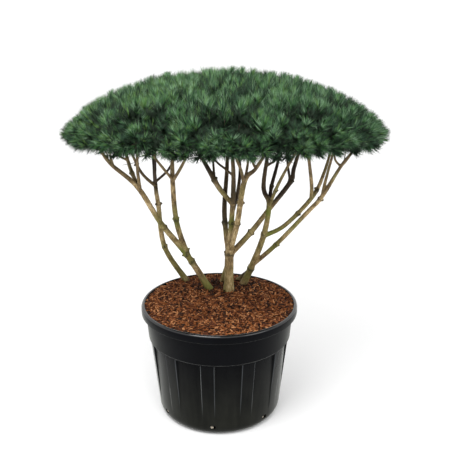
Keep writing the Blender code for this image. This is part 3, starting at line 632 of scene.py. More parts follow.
def dome_height(x, y):
    inside = np.maximum(0.0, 1.0 - crown_ratio(x, y) ** 2)
    return CROWN_EDGE_HEIGHT + CROWN_RISE * inside ** CROWN_ROUNDNESS


def underside_height(x, y):
    towards_front = np.maximum(0.0, (CROWN_CENTRE[1] - y) / CROWN_HALF[1])
    hollow = UNDERSIDE_HOLLOW * np.maximum(0.0, 1.0 - crown_ratio(x, y) ** 2)
    return UNDERSIDE_HEIGHT + UNDERSIDE_FRONT_RISE * towards_front + hollow


# name: (parent, foot or height on the parent, knees, tip, widths in millimetres)
LIMBS = {
    "stem_left_back": (
        None, (-0.185, 0.285), [(-0.306, 0.270, 0.802), (-0.337, 0.300, 1.036), (-0.353, 0.330, 1.148)],
        (-0.385, 0.510), (32, 28, 25, 23, 12)),
    "bough_left_rear": (
        "stem_left_back", 1.140, [(-0.434, 0.332, 1.222)], (-0.510, 0.330), (19, 16, 12)),
    "bough_left_upright": (
        "stem_left_back", 1.146, [(-0.349, 0.305, 1.230)], (-0.335, 0.262), (17, 14, 11)),
    "stem_left_front": (
        None, (-0.051, 0.143),
        [(-0.173, 0.120, 0.810), (-0.301, 0.070, 1.002), (-0.407, 0.020, 1.207), (-0.529, -0.020, 1.335)],
        (-0.585, -0.030), (36, 32, 28, 25, 18, 11)),
    "bough_left_second": (
        "stem_left_front", 1.203, [(-0.454, 0.080, 1.309)], (-0.492, 0.150), (22, 19, 14)),
    "bough_left_riser": (
        "stem_left_front", 1.190, [(-0.394, -0.055, 1.322)], (-0.376, -0.140), (18, 15, 11)),
    "stem_left_middle": (
        "stem_left_front", 0.803, [(-0.221, 0.080, 1.005), (-0.232, 0.030, 1.236)],
        (-0.225, -0.010), (30, 27, 25, 15)),
    "bough_middle_left": (
        "stem_left_middle", 1.247, [(-0.283, -0.060, 1.340)], (-0.331, -0.163), (15, 13, 11)),
    "bough_middle_right": (
        "stem_left_middle", 1.240, [(-0.182, -0.070, 1.328)], (-0.115, -0.200), (17, 15, 12)),
    "trunk_centre": (
        None, (0.050, 0.115), [(0.053, 0.138, 0.800), (0.064, 0.130, 0.981), (0.074, 0.120, 1.225)],
        (0.060, 0.140), (52, 47, 28, 24, 16)),
    "stem_centre_back": (
        "trunk_centre", 0.780, [(0.031, 0.170, 0.960), (0.027, 0.225, 1.062), (0.040, 0.400, 1.212)],
        (0.045, 0.585), (30, 28, 26, 22, 13)),
    "bough_centre_left": (
        "trunk_centre", 1.090, [(0.000, 0.150, 1.170), (-0.060, 0.200, 1.264), (-0.130, 0.265, 1.375)],
        (-0.165, 0.290), (24, 27, 23, 18, 14)),
    "bough_centre_back": (
        "trunk_centre", 1.035, [(0.098, 0.190, 1.146), (0.110, 0.300, 1.262)],
        (0.080, 0.385), (20, 19, 16, 12)),
    "stem_centre_right": (
        "trunk_centre", 0.815, [(0.093, 0.090, 0.993), (0.127, 0.020, 1.237), (0.181, -0.030, 1.314)],
        (0.248, -0.088), (32, 29, 27, 18, 14)),
    "bough_centre_front": (
        "stem_centre_right", 1.225, [(0.106, -0.085, 1.320)], (0.062, -0.270), (17, 15, 11)),
    "bough_centre_riser": (
        "stem_centre_right", 1.231, [(0.141, 0.010, 1.317)], (0.154, -0.005), (15, 13, 10)),
    "stem_right_rear": (
        "trunk_centre", 0.797,
        [(0.164, 0.150, 0.923), (0.256, 0.195, 1.030), (0.381, 0.250, 1.180), (0.400, 0.272, 1.250)],
        (0.460, 0.330), (30, 29, 26, 25, 23, 13)),
    "bough_rear_riser": (
        "stem_right_rear", 1.178, [(0.362, 0.246, 1.280)], (0.350, 0.240), (15, 13, 10)),
    "stem_right": (
        None, (0.128, 0.226),
        [(0.175, 0.200, 0.710), (0.236, 0.135, 0.917), (0.259, 0.122, 1.092), (0.233, 0.180, 1.178)],
        (0.272, 0.272), (38, 35, 30, 26, 24, 15)),
    "bough_right_back": (
        "stem_right", 1.080, [(0.278, 0.220, 1.165), (0.325, 0.410, 1.262)],
        (0.350, 0.500), (21, 20, 17, 12)),
    "bough_right_front": (
        "stem_right", 1.082, [(0.307, 0.050, 1.232)], (0.400, -0.052), (18, 16, 11)),
    "stem_right_low": (
        "stem_right", 0.720,
        [(0.302, 0.140, 0.861), (0.458, 0.080, 1.062), (0.523, 0.050, 1.152), (0.601, 0.000, 1.318)],
        (0.665, -0.030), (25, 24, 22, 22, 16, 10)),
    "bough_low_riser": (
        "stem_right_low", 1.148, [(0.536, 0.042, 1.236)], (0.572, 0.000), (18, 15, 11)),
    "stem_right_high": (
        "stem_right", 0.912, [(0.347, 0.130, 0.974), (0.486, 0.150, 1.120), (0.546, 0.180, 1.239)],
        (0.600, 0.230), (25, 23, 22, 17, 12)),
    "bough_high_riser": (
        "stem_right_high", 1.112, [(0.468, 0.060, 1.217)], (0.412, -0.165), (20, 19, 13)),
}
# name: (the stem it joins, the height there, its foot, widths)
LEGS = {
    "leg_centre": ("trunk_centre", 0.790, (0.014, 0.262), (30, 22)),
    "leg_right": ("stem_right", 0.690, (0.098, 0.300), (26, 21)),
}
ROWS = {**LIMBS, **LEGS}
# the limb whose tip each mass of foliage grows on from: ten round the edge, five inside them and one on top
CARRIERS = {
    "foliage_front": "bough_centre_front",
    "foliage_front_right": "bough_high_riser",
    "foliage_right_front": "stem_right_low",
    "foliage_right_back": "stem_right_high",
    "foliage_back_right": "bough_right_back",
    "foliage_back": "stem_centre_back",
    "foliage_back_left": "stem_left_back",
    "foliage_left_back": "bough_left_rear",
    "foliage_left_front": "stem_left_front",
    "foliage_front_left": "bough_middle_left",
    "foliage_inner_front_right": "stem_centre_right",
    "foliage_inner_right": "stem_right",
    "foliage_inner_back": "bough_centre_back",
    "foliage_inner_left": "bough_centre_left",
    "foliage_inner_front_left": "stem_left_middle",
    "foliage_top": "trunk_centre",
}
FOOT_POCKET = 0.006
BARE_TIP_LIFT = 0.026
CARRIER_TIP_LIFT = 0.008
FOOT_FLARE = 0.22
FOOT_FLARE_LENGTH = 0.045
LIMB_STEP = 0.008

limb_paths = {}             # name: (points along the axis, radii)


def smooth_path(points, radii, step=LIMB_STEP):
    """A smooth curve through the points, read about every step."""
    points = np.asarray(points, dtype=float)
    ends = np.vstack([points[:1] * 2 - points[1:2], points, points[-1:] * 2 - points[-2:-1]])
    places, widths = [points[0]], [radii[0]]
    for index in range(len(points) - 1):
        before, start, end, after = ends[index:index + 4]
        pieces = max(1, round(float(np.linalg.norm(end - start)) / step))
        for piece in range(1, pieces + 1):
            part = piece / pieces
            bend_in = (end - before) * part + (before * 2 - start * 5 + end * 4 - after) * part ** 2
            bend_out = (start * 3 - before - end * 3 + after) * part ** 3
            places.append(start + (bend_in + bend_out) / 2)
            widths.append(radii[index] + (radii[index + 1] - radii[index]) * part)
    return np.array(places), np.array(widths)


def point_on_limb(name, height):
    places = limb_paths[name][0]
    return places[np.argmin(np.abs(places[:, 2] - height))]


def foot_point(x, y):
    return (x, y, mulch_height(x, y) - FOOT_POCKET)


def flare(places, widths):
    """Widen a stem's foot."""
    distance = np.linalg.norm(places - places[0], axis=1)
    return widths * (1.0 + FOOT_FLARE * np.exp(-distance / FOOT_FLARE_LENGTH))


for name, (parent, root, knees, tip, widths) in LIMBS.items():
    lift = CARRIER_TIP_LIFT if name in CARRIERS.values() else BARE_TIP_LIFT
    start = point_on_limb(parent, root) if parent else foot_point(*root)
    points = [start, *knees, (*tip, float(underside_height(*tip)) + lift)]
    limb_paths[name] = smooth_path(points, [width / 2000 for width in widths])
for name, (parent, height, foot, widths) in LEGS.items():
    points = [foot_point(*foot), point_on_limb(parent, height)]
    limb_paths[name] = smooth_path(points, [width / 2000 for width in widths])
for name, (places, widths) in limb_paths.items():
    if name in LEGS or not LIMBS[name][0]:
        limb_paths[name] = (places, flare(places, widths))
print("limbs", len(limb_paths))

# %% [markdown]
# A limb isn't an even tube. It swells at each whorl, where last year's side shoots were cut off, and again
# at a fork, and its width wanders a little between. Tubes with these swellings are drawn as arrays: a ring
# of points at each step of the axis, turned with it, with both ends closed.

# %% Limbs: knots and tubes
KNOTS = {
    "stem_left_back": (0.802, 1.040), "stem_left_front": (0.768, 0.810, 0.973),
    "stem_left_middle": (0.833, 1.022), "trunk_centre": (0.809, 0.981), "stem_centre_back": (0.965,),
    "stem_centre_right": (0.993, 1.110), "bough_centre_left": (1.203,), "stem_right_rear": (0.923, 1.180),
    "stem_right": (0.697, 0.917), "stem_right_low": (0.861, 1.134), "stem_right_high": (1.033, 1.156),
    "bough_right_back": (1.160,), "bough_right_front": (1.170,), "bough_left_rear": (1.250,),
    "bough_left_second": (1.270,)}
KNOT_SWELL = 0.23
WANDER_SWELL = 0.05
LIMB_SIDES = 14
KNOT_LENGTH = 0.0095
RUN_LENGTH = 0.022          # of the dark streak that rain leaves below a knot


def knot_amount(name, places):
    """How near each point lies to a knot, from 0 to 1."""
    amount = np.zeros(len(places))
    for height in KNOTS.get(name, ()):
        distance = np.linalg.norm(places - point_on_limb(name, height), axis=1)
        amount = np.maximum(amount, np.exp(-(distance / KNOT_LENGTH) ** 2))
    return amount


def wander(name, places):
    """A slow unevenness along a limb, from about -1 to 1."""
    offset = Vector((len(name) * 3.7, places[0][0] * 50, 0))
    return np.array([noise.noise(Vector(place) * 16 + offset) for place in places])


def tube_arrays(places, widths, sides):
    """Points and triangles of one closed tube."""
    headings = unit(np.gradient(places, axis=0))
    first = np.zeros_like(headings)
    first[0] = side_directions(headings[:1])[0][0]
    for index in range(1, len(headings)):
        carried = first[index - 1] - headings[index] * np.dot(first[index - 1], headings[index])
        first[index] = carried / np.linalg.norm(carried)
    second = np.cross(headings, first)
    angles = (np.arange(sides) * math.tau / sides)[None, :, None]
    ring = first[:, None] * np.cos(angles) + second[:, None] * np.sin(angles)
    points = (places[:, None] + ring * widths[:, None, None]).reshape(-1, 3)
    middle = len(points)            # the middle points of the two caps come last
    top = middle - sides
    here = np.arange(sides)
    after = (here + 1) % sides
    low, next_low = (np.arange(0, top, sides)[:, None] + index for index in (here, after))
    triangles = [
        (low, next_low, next_low + sides), (low, next_low + sides, low + sides),
        (after, here, np.full(sides, middle)), (here + top, after + top, np.full(sides, middle + 1))]
    points = np.vstack([points, places[:1], places[-1:]])
    return points, np.vstack([np.stack(corners, axis=-1).reshape(-1, 3) for corners in triangles])


def join_arrays(pieces):
    """One set of points and triangles from many."""
    points, triangles, offset = [], [], 0
    for some_points, some_triangles in pieces:
        points.append(some_points)
        triangles.append(some_triangles + offset)
        offset += len(some_points)
    return np.vstack(points), np.vstack(triangles)


def limb_tube(name):
    places, widths = limb_paths[name]
    swollen = widths * (1.0 + KNOT_SWELL * knot_amount(name, places) + WANDER_SWELL * wander(name, places))
    return tube_arrays(places, swollen, LIMB_SIDES)


# %% [markdown]
# Where a side shoot was pruned, a short stub stays on the knot. Thin live twigs also leave the boughs just
# under the crown and climb into it. Both are grown by a seeded rule from the limbs.

# %% Limbs: stubs and climbing twigs
STUB_LENGTH = (0.006, 0.012)
STUB_WIDTH = (0.0044, 0.0064)
STUB_LEAN = 0.45
TWIG_DROPS = ((0.030, 0.055), (0.070, 0.115))       # how far below a bough's tip its climbing twigs leave
CLIMB_REACH = (0.035, 0.060)
CLIMB_RISE = 0.020          # how much higher than the bough's tip they end
CLIMB_WIDTHS = (0.0032, 0.0028, 0.0024)


def knot_stubs(name):
    """Short cut stubs round a limb's knots."""
    for height in KNOTS.get(name, ()):
        places, widths = limb_paths[name]
        index = int(np.argmin(np.abs(places[:, 2] - height)))
        index = min(max(index, 1), len(places) - 2)
        heading = unit(places[index + 1] - places[index - 1])
        side, other = (direction[0] for direction in side_directions(heading[None]))
        first = random.uniform(0, math.tau)
        for turn in range(random.choice((2, 3, 3))):
            angle = first + turn * math.tau / 3 + random.uniform(-0.5, 0.5)
            outward = unit(side * math.cos(angle) + other * math.sin(angle) + heading * STUB_LEAN)
            length = widths[index] + random.uniform(*STUB_LENGTH)
            width = random.uniform(*STUB_WIDTH)
            stub = places[index] + outward[None] * np.linspace(0, length, 5)[:, None]
            yield tube_arrays(stub, np.linspace(width * 1.3, width, 5), 8)


def climbing_twigs(name):
    """Thin twigs that leave a bough under the crown and end inside it."""
    places, _ = limb_paths[name]
    for drop in [random.uniform(*drops) for drops in TWIG_DROPS]:
        index = len(places) - 1 - int(drop / LIMB_STEP)
        if index < 4:
            continue
        start = places[index]
        heading = unit(places[index] - places[index - 2])
        angle = random.uniform(0, math.tau)
        out = np.array((math.cos(angle), math.sin(angle), 0.0))
        out = unit(out + heading * (0.0, 0.0, 1.0))
        reach = random.uniform(*CLIMB_REACH)
        end = start + out * reach + np.array((0, 0, drop + CLIMB_RISE))
        bend = start * 0.5 + end * 0.5 + out * reach * 0.25 - np.array((0, 0, 0.006))
        twig, widths = smooth_path([start, bend, end], CLIMB_WIDTHS)
        yield tube_arrays(twig, widths, 8)


# %% [markdown]
# A few side twigs can be seen one by one below the crown, where a limb forks for the last time. They're
# listed: the limb, the height at which each leaves it, the points that it passes and its width.

# %% Limbs: listed side twigs
SIDE_TWIGS = [
    ("stem_left_front", 1.330, [(-0.572, -0.020, 1.400), (-0.590, -0.020, 1.440)], 0.0125),
    ("stem_left_front", 1.320, [(-0.529, -0.022, 1.385), (-0.520, -0.025, 1.440)], 0.0125),
    ("bough_left_second", 1.330, [(-0.515, 0.090, 1.362), (-0.535, 0.090, 1.420)], 0.0125),
    ("stem_left_back", 1.160, [
        (-0.299, 0.330, 1.207), (-0.267, 0.330, 1.248), (-0.218, 0.330, 1.340), (-0.205, 0.330, 1.420)],
     0.0150),
    ("bough_centre_left", 1.205, [(-0.033, 0.230, 1.305), (-0.035, 0.235, 1.420)], 0.0140),
    ("trunk_centre", 1.240, [(0.037, 0.180, 1.261), (-0.029, 0.230, 1.313), (-0.050, 0.250, 1.420)], 0.0140),
    ("stem_centre_right", 1.314, [(0.162, -0.032, 1.355), (0.150, -0.035, 1.430)], 0.0140),
    ("stem_right", 1.235, [(0.250, 0.220, 1.271), (0.305, 0.220, 1.316), (0.325, 0.220, 1.420)], 0.0150),
    ("stem_right_low", 1.322, [(0.570, 0.000, 1.355), (0.566, 0.000, 1.430)], 0.0125),
    ("stem_right_low", 1.330, [(0.622, -0.010, 1.345), (0.670, -0.015, 1.420)], 0.0125),
]


def listed_twigs(name):
    """The side twigs that leave a limb."""
    for limb, height, points, width in SIDE_TWIGS:
        if limb == name:
            knees = [point_on_limb(limb, height), *points]
            widths = np.linspace(width, width * 0.75, len(knees)) / 2
            yield tube_arrays(*smooth_path(knees, widths), 10)


# %% [markdown]
# Each plant stem with its boughs becomes one skin. The overlapping tubes are joined and remeshed by voxels,
# which closes the forks, and a little smoothing rounds them. Every point of the skin then finds the nearest
# place on an axis, which gives the bark's pattern its direction, and is pushed in or out by a fine relief.

# %% Limbs: one bark skin for each stem
SKINS = {
    "left_back_stem": "stem_left_back", "left_front_stem": "stem_left_front",
    "centre_stem": "trunk_centre", "right_stem": "stem_right"}
# limb: (how much painted shade its bark gets, the height from which it does)
SHADED_LIMBS = {
    "stem_left_back": (1.0, 1.090), "bough_left_upright": (1.0, 1.0), "bough_left_rear": (0.6, 1.0),
    "bough_left_second": (0.35, 1.0), "bough_left_riser": (0.4, 1.0), "bough_centre_left": (0.85, 1.170),
    "stem_centre_back": (0.85, 0.930), "trunk_centre": (0.75, 1.040), "bough_centre_back": (0.9, 1.0),
    "bough_centre_riser": (0.5, 1.0), "bough_centre_front": (0.5, 1.0), "stem_right": (0.95, 1.090),
    "bough_right_back": (1.0, 1.0), "bough_right_front": (0.25, 1.0), "stem_right_rear": (0.9, 1.050),
    "bough_rear_riser": (0.9, 1.0), "stem_right_low": (0.25, 1.150), "bough_low_riser": (0.3, 1.0),
    "stem_right_high": (0.2, 1.100), "leg_right": (0.8, 0.6)}
# limb: the height of its greenest patch
ALGAE = {"trunk_centre": 0.990, "stem_left_middle": 1.015, "stem_right": 1.050, "stem_right_high": 0.935,
         "stem_left_front": 0.830}
ALGAE_LENGTH = 0.045
FAR_UP = 9.0                # for a limb without one
GREEN_FALL = 0.6            # how fast the green that is spread everywhere thins out with height
SHADE_FADE = 0.05           # the height over which a limb's painted shade sets in
CROWN_SHADE = (1.22, 0.16, 0.45)        # painted shade of the crown on the bark: from this height, over this length, so much
VOXEL = 0.0030
RELIEF = 0.0009
SKIN_GROWTH = 0.0004        # makes up for what smoothing takes
BATCH = 20000               # points of a skin that are measured at once
PROUD = (0.0020, 0.0030)    # a point this far outside its limb, and this much more, is on a stub


def foot_limb(name):
    """The limb in the pot that a limb or leg comes from."""
    while ROWS[name][0]:
        name = ROWS[name][0]
    return name


def vertex_values(mesh, name):
    """One property of every vertex, as rows of three numbers."""
    values = np.empty(len(mesh.vertices) * 3, dtype=np.float32)
    mesh.vertices.foreach_get(name, values)
    return values.reshape(-1, 3).astype(float)


def knot_stain(name, points, headings, proud):
    """How dark an old knot has left the bark: most on its stubs, and on the side where shoots were cut."""
    stain = np.zeros(len(points))
    for height in KNOTS.get(name, ()):
        offset = points - point_on_limb(name, height)
        forward = np.sum(offset * headings, axis=1)
        angle = height * 97.0       # so that each knot was cut on a side of its own
        facing = unit(offset - headings * forward[:, None]) @ (math.cos(angle), math.sin(angle), 0.0)
        band = np.exp(-(forward / KNOT_LENGTH) ** 2) * np.clip(0.14 + 0.80 * facing, 0.0, 1.0)
        stubs = np.exp(-(forward / KNOT_LENGTH / 2.6) ** 2) * proud
        run = np.where(forward < 0, np.exp(forward / RUN_LENGTH), 0.0)
        run = 0.8 * run * np.clip(facing, 0.0, 1.0) ** 2
        stain = np.maximum.reduce([stain, band, stubs, run])
    return stain


def bark_attributes(points, names):
    """Where each point lies on the nearest limb, and how much knot, green and painted shade it has there."""
    count = len(points)
    best = np.full(count, 10.0)
    place = np.zeros((count, 3))
    marks_and_shade = np.zeros((count, 3))
    for name in names:
        places, widths = limb_paths[name]
        lengths = np.concatenate([[0], np.cumsum(np.linalg.norm(np.diff(places, axis=0), axis=1))])
        headings = unit(np.gradient(places, axis=0))
        dark, from_height = SHADED_LIMBS.get(name, (0.0, 0.0))
        for start in range(0, count, BATCH):
            some = points[start:start + BATCH]
            distance = np.linalg.norm(some[:, None, :] - places[None, ::2, :], axis=2)
            nearest = np.argmin(distance, axis=1) * 2
            closeness = distance[np.arange(len(some)), nearest // 2] - widths[nearest]
            better = closeness < best[start:start + BATCH]
            rows = np.nonzero(better)[0] + start
            nearest = nearest[better]
            best[rows] = closeness[better]
            offset = points[rows] - places[nearest]
            forward = np.sum(offset * headings[nearest], axis=1)
            side, other = side_directions(headings[nearest] * 0.2 + (0.0, 0.0, 0.8))
            place[rows, 0] = np.sum(offset * side, axis=1) + len(name) * 0.37
            place[rows, 1] = np.sum(offset * other, axis=1)
            place[rows, 2] = lengths[nearest] + forward
            proud = np.clip((best[rows] - PROUD[0]) / PROUD[1], 0.0, 1.0)
            marks_and_shade[rows, 0] = knot_stain(name, points[rows], headings[nearest], proud)
            marks_and_shade[rows, 1] = np.exp(-((points[rows, 2] - ALGAE.get(name, FAR_UP)) / ALGAE_LENGTH) ** 2)
            # painted shade, set for each limb from a height upwards
            marks_and_shade[rows, 2] = dark * np.clip((points[rows, 2] - from_height) / SHADE_FADE, 0, 1)
    height = points[:, 2]
    cloud = np.array([noise.noise(Vector(point) * 9) for point in points])
    spread_green = 0.22 + cloud * 0.9 - (height - 0.90) * GREEN_FALL
    marks_and_shade[:, 1] = np.clip(np.maximum(marks_and_shade[:, 1], spread_green), 0.0, 0.95)
    # painted shade: the crown's shadow darkens the bark just under it
    shade_height, shade_length, most_shade = CROWN_SHADE
    near_crown = np.clip((height - shade_height) / shade_length, 0.0, most_shade)
    marks_and_shade[:, 2] = np.clip(np.maximum(marks_and_shade[:, 2] * (0.95 + 0.35 * cloud), near_crown), 0, 1)
    return place, marks_and_shade


def dress_bark(piece, names):
    """Set a skin's fine relief and its two attributes."""
    points = vertex_values(piece.data, "co")
    normals = vertex_values(piece.data, "normal")
    place, marks_and_shade = bark_attributes(points, names)
    fine = np.array([noise.noise(Vector((x * 260, y * 260, z * 48))) for x, y, z in place])
    points += normals * (RELIEF * fine + SKIN_GROWTH)[:, None]
    piece.data.vertices.foreach_set("co", points.astype(np.float32).ravel())
    for name, values in (("bark_place", place), ("bark_tint", marks_and_shade)):
        attribute = piece.data.attributes.new(name, "FLOAT_VECTOR", "POINT")
        attribute.data.foreach_set("vector", values.astype(np.float32).ravel())


for group, foot in SKINS.items():
    names = [name for name in ROWS if foot_limb(name) == foot]
    tubes = [limb_tube(name) for name in names]
    for name in names:
        tubes += [*knot_stubs(name), *listed_twigs(name)]
    for name in names:
        if name in CARRIERS.values():
            tubes += climbing_twigs(name)
    stem = piece_from_arrays(group, *join_arrays(tubes))
    apply_modifier(stem, "REMESH", mode="VOXEL", voxel_size=VOXEL)
    apply_modifier(stem, "SMOOTH", factor=0.5, iterations=3)
    dress_bark(stem, names)
    stem.data.shade_smooth()
    finish_piece(stem, bark, "stem_bark", *names)

# %% [markdown]
# The crown is sixteen clipped cushions: ten round the edge, five inside them and one on top. Each keeps to
# its own upright space, up to half way to its neighbours, and under the dome that the shears left. The
# same rule that placed the solids is written again here for whole arrays of directions.

# %% Crown: the space of each mass
RIM_COUNT = 10
RIM_PLACE = 0.70
INNER_COUNT = 5
INNER_PLACE = 0.42
CELL_MARGIN = 0.004
CORE_LIFT = 0.045
CORE_EDGE = 0.865
CUSHION_DROP = 0.012
SPRAY_REACH = 0.096
FULLNESS = {True: 0.32, False: 0.24}     # below 1, a cushion is fuller at its sides than a ball


def ring_places(count, place, first_angle):
    for index in range(count):
        angle = first_angle + index * math.tau / count
        yield CROWN_CENTRE + place * CROWN_HALF * (math.cos(angle), math.sin(angle))


class Space:
    """The upright space that one mass keeps to."""

    def __init__(self, limb, centre, others, is_rim):
        self.limb = limb
        self.centre = centre
        self.is_rim = is_rim
        steps = np.array([other - centre for other in others])
        self.lengths = np.linalg.norm(steps, axis=1)
        self.ways = steps / self.lengths[:, None]

    def room(self, spots):
        """How far each level spot lies inside the nearest side."""
        return np.min(self.lengths / 2 - (spots - self.centre) @ self.ways.T, axis=1)

    def reach(self, directions):
        """How far the cushion's inside reaches each level way, and whether that is the crown's edge."""
        towards = directions @ self.ways.T
        sides = np.where(towards > 0.01, (self.lengths / 2 - CELL_MARGIN) / np.maximum(towards, 0.01), 10.0)
        side = sides.min(axis=1)
        trial = np.arange(0.0, 0.5, 0.005)
        places = self.centre + directions[:, None, :] * trial[None, :, None]
        outside = crown_ratio(places[..., 0], places[..., 1]) > CORE_EDGE
        edge = np.where(outside.any(axis=1), trial[outside.argmax(axis=1)], 10.0)
        return np.minimum(side, edge), edge < side

    def skin(self, normals):
        """The point of the cushion's inner skin in each direction, and whether that is at the edge."""
        spread = np.linalg.norm(normals[:, :2], axis=1)
        level = normals[:, :2] / np.maximum(spread, 0.001)[:, None]
        reach, is_edge = self.reach(level)
        places = self.centre + level * (reach * spread)[:, None]
        top = dome_height(*places.T) - SPRAY_REACH - CUSHION_DROP * spread ** 2
        low = underside_height(*places.T) + CORE_LIFT
        middle = low + (top - low) * 0.45
        upward = np.maximum(normals[:, 2], 0.0) ** FULLNESS[self.is_rim]
        downward = np.minimum(normals[:, 2], 0.0)
        height = middle + (top - middle) * upward + (middle - low) * downward
        return np.column_stack([places, height]), is_edge


front = math.radians(-90)
centres = [
    *ring_places(RIM_COUNT, RIM_PLACE, front),
    *ring_places(INNER_COUNT, INNER_PLACE, front + math.tau / INNER_COUNT / 2), CROWN_CENTRE]
spaces = [
    Space(limb, centre, [other for other in centres if other is not centre], index < RIM_COUNT)
    for index, (limb, centre) in enumerate(zip(CARRIERS.values(), centres))]
print("masses", len(spaces))

# %% [markdown]
# Where cushions meet, the needles leave dark hollows, and here and there a gap. Those at the front are
# listed by their place in plan. The rest are scattered round the back, a little inside the crown's edge.
# Each is a ball of air that only the shaded needles of the inside may enter.

# %% Crown: hollows
HOLLOWS_AT = [
    (-0.37, -0.31), (-0.25, -0.33), (-0.21, -0.28), (-0.04, -0.42), (0.03, -0.44), (0.10, -0.44),
    (0.30, -0.30), (0.42, -0.30), (0.57, -0.25)]
HIDDEN_HOLLOWS = 14
BACK_ANGLES = (5, 175)
HOLLOW_PLACE = (0.70, 0.86)      # how far out the hidden ones lie: 0 is the crown's middle and 1 its edge
HOLLOW_SINK = 0.022
HOLLOW_RADIUS = 0.064
GAP = (-0.37, -0.43, 1.515)

for _ in range(HIDDEN_HOLLOWS):
    angle = math.radians(random.uniform(*BACK_ANGLES))
    level = random.uniform(*HOLLOW_PLACE) * CROWN_HALF * (math.cos(angle), math.sin(angle))
    HOLLOWS_AT.append(tuple(CROWN_CENTRE + level))
hollows = np.array([(x, y, float(dome_height(x, y)) - HOLLOW_SINK) for x, y in HOLLOWS_AT] + [GAP])


def hollow_depth(places):
    """0 at a hollow's edge and beyond, rising to 1 at its middle."""
    distance = np.full(len(places), 1.0)
    for hollow in hollows:
        distance = np.minimum(distance, np.linalg.norm(places - hollow, axis=1))
    return np.clip(1.0 - distance / HOLLOW_RADIUS, 0.0, 1.0)


# %% [markdown]
# A shoot is a finger-long twig clothed in needles, so that it looks like a brush. Shoots start on each
# cushion's inner skin, spread evenly over it, and point the way that light draws them: upright on top,
# outward at the crown's edge, and hanging a little along the lower fringe. A second, shorter set fills the
# inside of the cushion, in shade. Seen from above there'd still be holes where cushions meet, so a third
# set stands a little lower wherever the first leaves the crown bare. Pairs marked True and False hold for
# the cushions at the crown's edge and for the others.

# %% Crown: shoots
OUTER_SHOOTS = {True: 58, False: 42}
INNER_SHOOTS = {True: 44, False: 40}
OUTER_LOWEST = {True: -0.72, False: 0.0}
INNER_LOWEST = {True: -0.85, False: -0.95}
FRINGE_BELOW = -0.35        # shoots that start lower than this on a cushion hang
FRINGE_DROOP = 0.38
EDGE_OUTWARD = 0.60         # how much an edge shoot follows the crown and not its own cushion
ROOT_SINK = (0.0, 0.018)
SHOOT_LENGTH = 0.066
INNER_DEPTH = 0.060
SPOT_COUNT = 1300           # places spread evenly over the crown, where a bare one gets a shoot
SPOT_EDGE = 0.945
BARE_WIDTH = 0.0255
FILL_SINK = 0.092
HOLLOW_DROP = 0.035         # how much lower they stand under a hollow
FILL_LEAN = (0.66, 0.90)    # from here to there they lean from upright to outward
FILL_JITTER = (-0.014, 0.008)
GOLDEN_ANGLE = math.pi * (3.0 - math.sqrt(5.0))


def outward_from_crown(places):
    return unit(np.column_stack([(places[:, :2] - CROWN_CENTRE) / CROWN_HALF ** 2, np.zeros(len(places))]))


def even_directions(count, lowest):
    """Directions spread evenly over a ball down to a height, each turned a little at random."""
    index = np.arange(count)
    height = 1.0 - (1.0 - lowest) * (index + 0.5) / count
    level = np.sqrt(1.0 - height ** 2)
    angle = dice.uniform(0, math.tau) + index * GOLDEN_ANGLE + dice.uniform(-0.3, 0.3, count)
    return np.column_stack([level * np.cos(angle), level * np.sin(angle), height])


def grow_outer_shoots(space):
    """Roots, headings and lengths of the shoots that make a mass's outside."""
    count = OUTER_SHOOTS[space.is_rim]
    normals = even_directions(count, OUTER_LOWEST[space.is_rim])
    roots, is_edge = space.skin(normals)
    is_fringe = normals[:, 2] < FRINGE_BELOW
    level = np.column_stack([normals[:, :2], np.zeros(count)])
    led = (1.0 - EDGE_OUTWARD) * level + EDGE_OUTWARD * outward_from_crown(roots)
    level = np.where(is_edge[:, None], led, level)
    lift = np.where(is_edge, np.maximum(0.02, normals[:, 2] * 1.3), 0.55 + np.abs(normals[:, 2]))
    lift = np.where(is_fringe, -FRINGE_DROOP, lift)
    weight = np.where(is_edge | is_fringe, 1.2, 0.45)
    headings = unit(level * weight[:, None] + np.column_stack([np.zeros((count, 2)), lift]))
    headings = unit(headings + dice.normal(0, 0.12, (count, 3)))
    lengths = SHOOT_LENGTH * dice.uniform(0.8, 1.2, count) * np.where(is_edge, 1.12, 1.0)
    roots = roots - headings * dice.uniform(*ROOT_SINK, count)[:, None]
    return roots, headings, lengths


def grow_inner_shoots(space):
    """The same for the shoots in the shade behind them."""
    count = INNER_SHOOTS[space.is_rim]
    normals = even_directions(count, INNER_LOWEST[space.is_rim])
    roots, _ = space.skin(normals)
    roots = roots - normals * (dice.uniform(0.1, 1.0, count) * INNER_DEPTH)[:, None]
    headings = unit(normals + dice.normal(0, 0.45, (count, 3)) + (0.0, 0.0, 0.15))
    return roots, headings, SHOOT_LENGTH * dice.uniform(0.6, 0.9, count)


